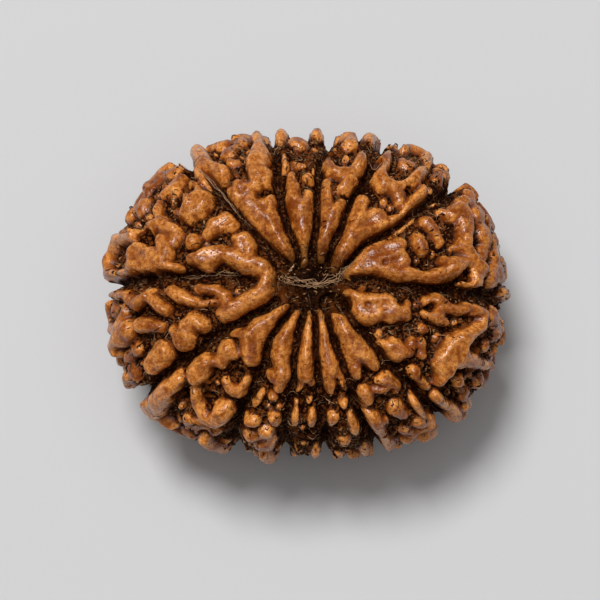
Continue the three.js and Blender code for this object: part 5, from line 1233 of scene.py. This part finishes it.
class SEED_OT_strew_crumbs(bpy.types.Operator):
    """Strew the crumbs of dry flesh over the seed's bed"""

    bl_idname = "seed.strew_crumbs"
    bl_label = "Strew crumbs"

    def execute(self, context):
        if "seed" not in forms:
            raise RuntimeError("the shell must be built before its crumbs")
        scene = context.scene
        piece = build_crumbs(forms["seed"], scene.seed_detail, scene.seed_finish)
        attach(piece, "root")
        return {"FINISHED"}


class SEED_OT_set_stage(bpy.types.Operator):
    """Set the floor, the lights and the camera"""

    bl_idname = "seed.set_stage"
    bl_label = "Set stage"

    def execute(self, context):
        scene = context.scene
        stage = scene.seed_stage
        corners = np.array([[-1, -1, 0], [1, -1, 0], [1, 1, 0], [-1, 1, 0]]) * FLOOR_HALF_SIZE
        floor = make_piece("stage_floor", corners, [[0, 1, 2, 3]], make_floor_material(stage.floor_colour))
        for name, size, place, power in (("stage_key", KEY_SIZE, KEY_PLACE, stage.key_power),
                                         ("stage_overhead", OVERHEAD_SIZE, OVERHEAD_PLACE, stage.overhead_power)):
            light = bpy.data.lights.new(name, "AREA")
            light.shape = "DISK"
            light.size = size * MM
            light.energy = power
            lamp = bpy.data.objects.new(name, light)
            lamp.location = Vector(place) * MM
            aim = Vector((0, 0, HEIGHT / 2 * MM)) - lamp.location
            lamp.rotation_euler = aim.to_track_quat("-Z", "Y").to_euler()
            scene.collection.objects.link(lamp)
        world = bpy.data.worlds.new("stage_air")
        world.use_nodes = True
        world.node_tree.nodes["Background"].inputs["Color"].default_value = (1, 1, 1, 1)
        world.node_tree.nodes["Background"].inputs["Strength"].default_value = stage.fill_strength
        scene.world = world
        lens = bpy.data.cameras.new("stage_camera")
        lens.lens = CAMERA_LENS
        lens.sensor_width = CAMERA_SENSOR
        camera = bpy.data.objects.new("stage_camera", lens)
        back = Vector((0, -math.cos(stage.elevation), math.sin(stage.elevation)))
        camera.location = Vector(CAMERA_TARGET) * MM + back * stage.frame_width * CAMERA_LENS / CAMERA_SENSOR
        camera.rotation_euler = (-back).to_track_quat("-Z", "Y").to_euler()
        scene.collection.objects.link(camera)
        scene.camera = camera
        scene.view_settings.view_transform = "Standard"
        return {"FINISHED"}


class SEED_PT_seed(bpy.types.Panel):
    """The seed's settings and steps, in the 3D view's sidebar"""

    bl_idname = "SEED_PT_seed"
    bl_label = "Rudraksha seed"
    bl_space_type = "VIEW_3D"
    bl_region_type = "UI"
    bl_category = "Seed"

    def draw(self, context):
        layout = self.layout
        for name, step in (("seed_detail", None), ("seed_finish", SEED_OT_build_shell),
                           ("seed_stage", SEED_OT_set_stage)):
            group = getattr(context.scene, name)
            for field in group.bl_rna.properties.keys()[2:]:
                layout.prop(group, field)
            if step:
                layout.operator(step.bl_idname)
        layout.operator(SEED_OT_lay_fibres.bl_idname)
        layout.operator(SEED_OT_strew_crumbs.bl_idname)


CLASSES = (SeedDetail, SeedFinish, StageSettings, SEED_OT_build_shell, SEED_OT_lay_fibres,
           SEED_OT_strew_crumbs, SEED_OT_set_stage, SEED_PT_seed)


def register():
    """Registers the classes and gives the scene its settings."""
    for each in CLASSES:
        bpy.utils.register_class(each)
    bpy.types.Scene.seed_detail = bpy.props.PointerProperty(type=SeedDetail)
    bpy.types.Scene.seed_finish = bpy.props.PointerProperty(type=SeedFinish)
    bpy.types.Scene.seed_stage = bpy.props.PointerProperty(type=StageSettings)


def unregister():
    """Takes the settings and classes away again."""
    del bpy.types.Scene.seed_detail
    del bpy.types.Scene.seed_finish
    del bpy.types.Scene.seed_stage
    for each in reversed(CLASSES):
        bpy.utils.unregister_class(each)


def main():
    """Builds everything in order."""
    register()
    bpy.ops.seed.build_shell()
    bpy.ops.seed.lay_fibres()
    bpy.ops.seed.strew_crumbs()
    bpy.ops.seed.set_stage()


if __name__ == "__main__":
    main()
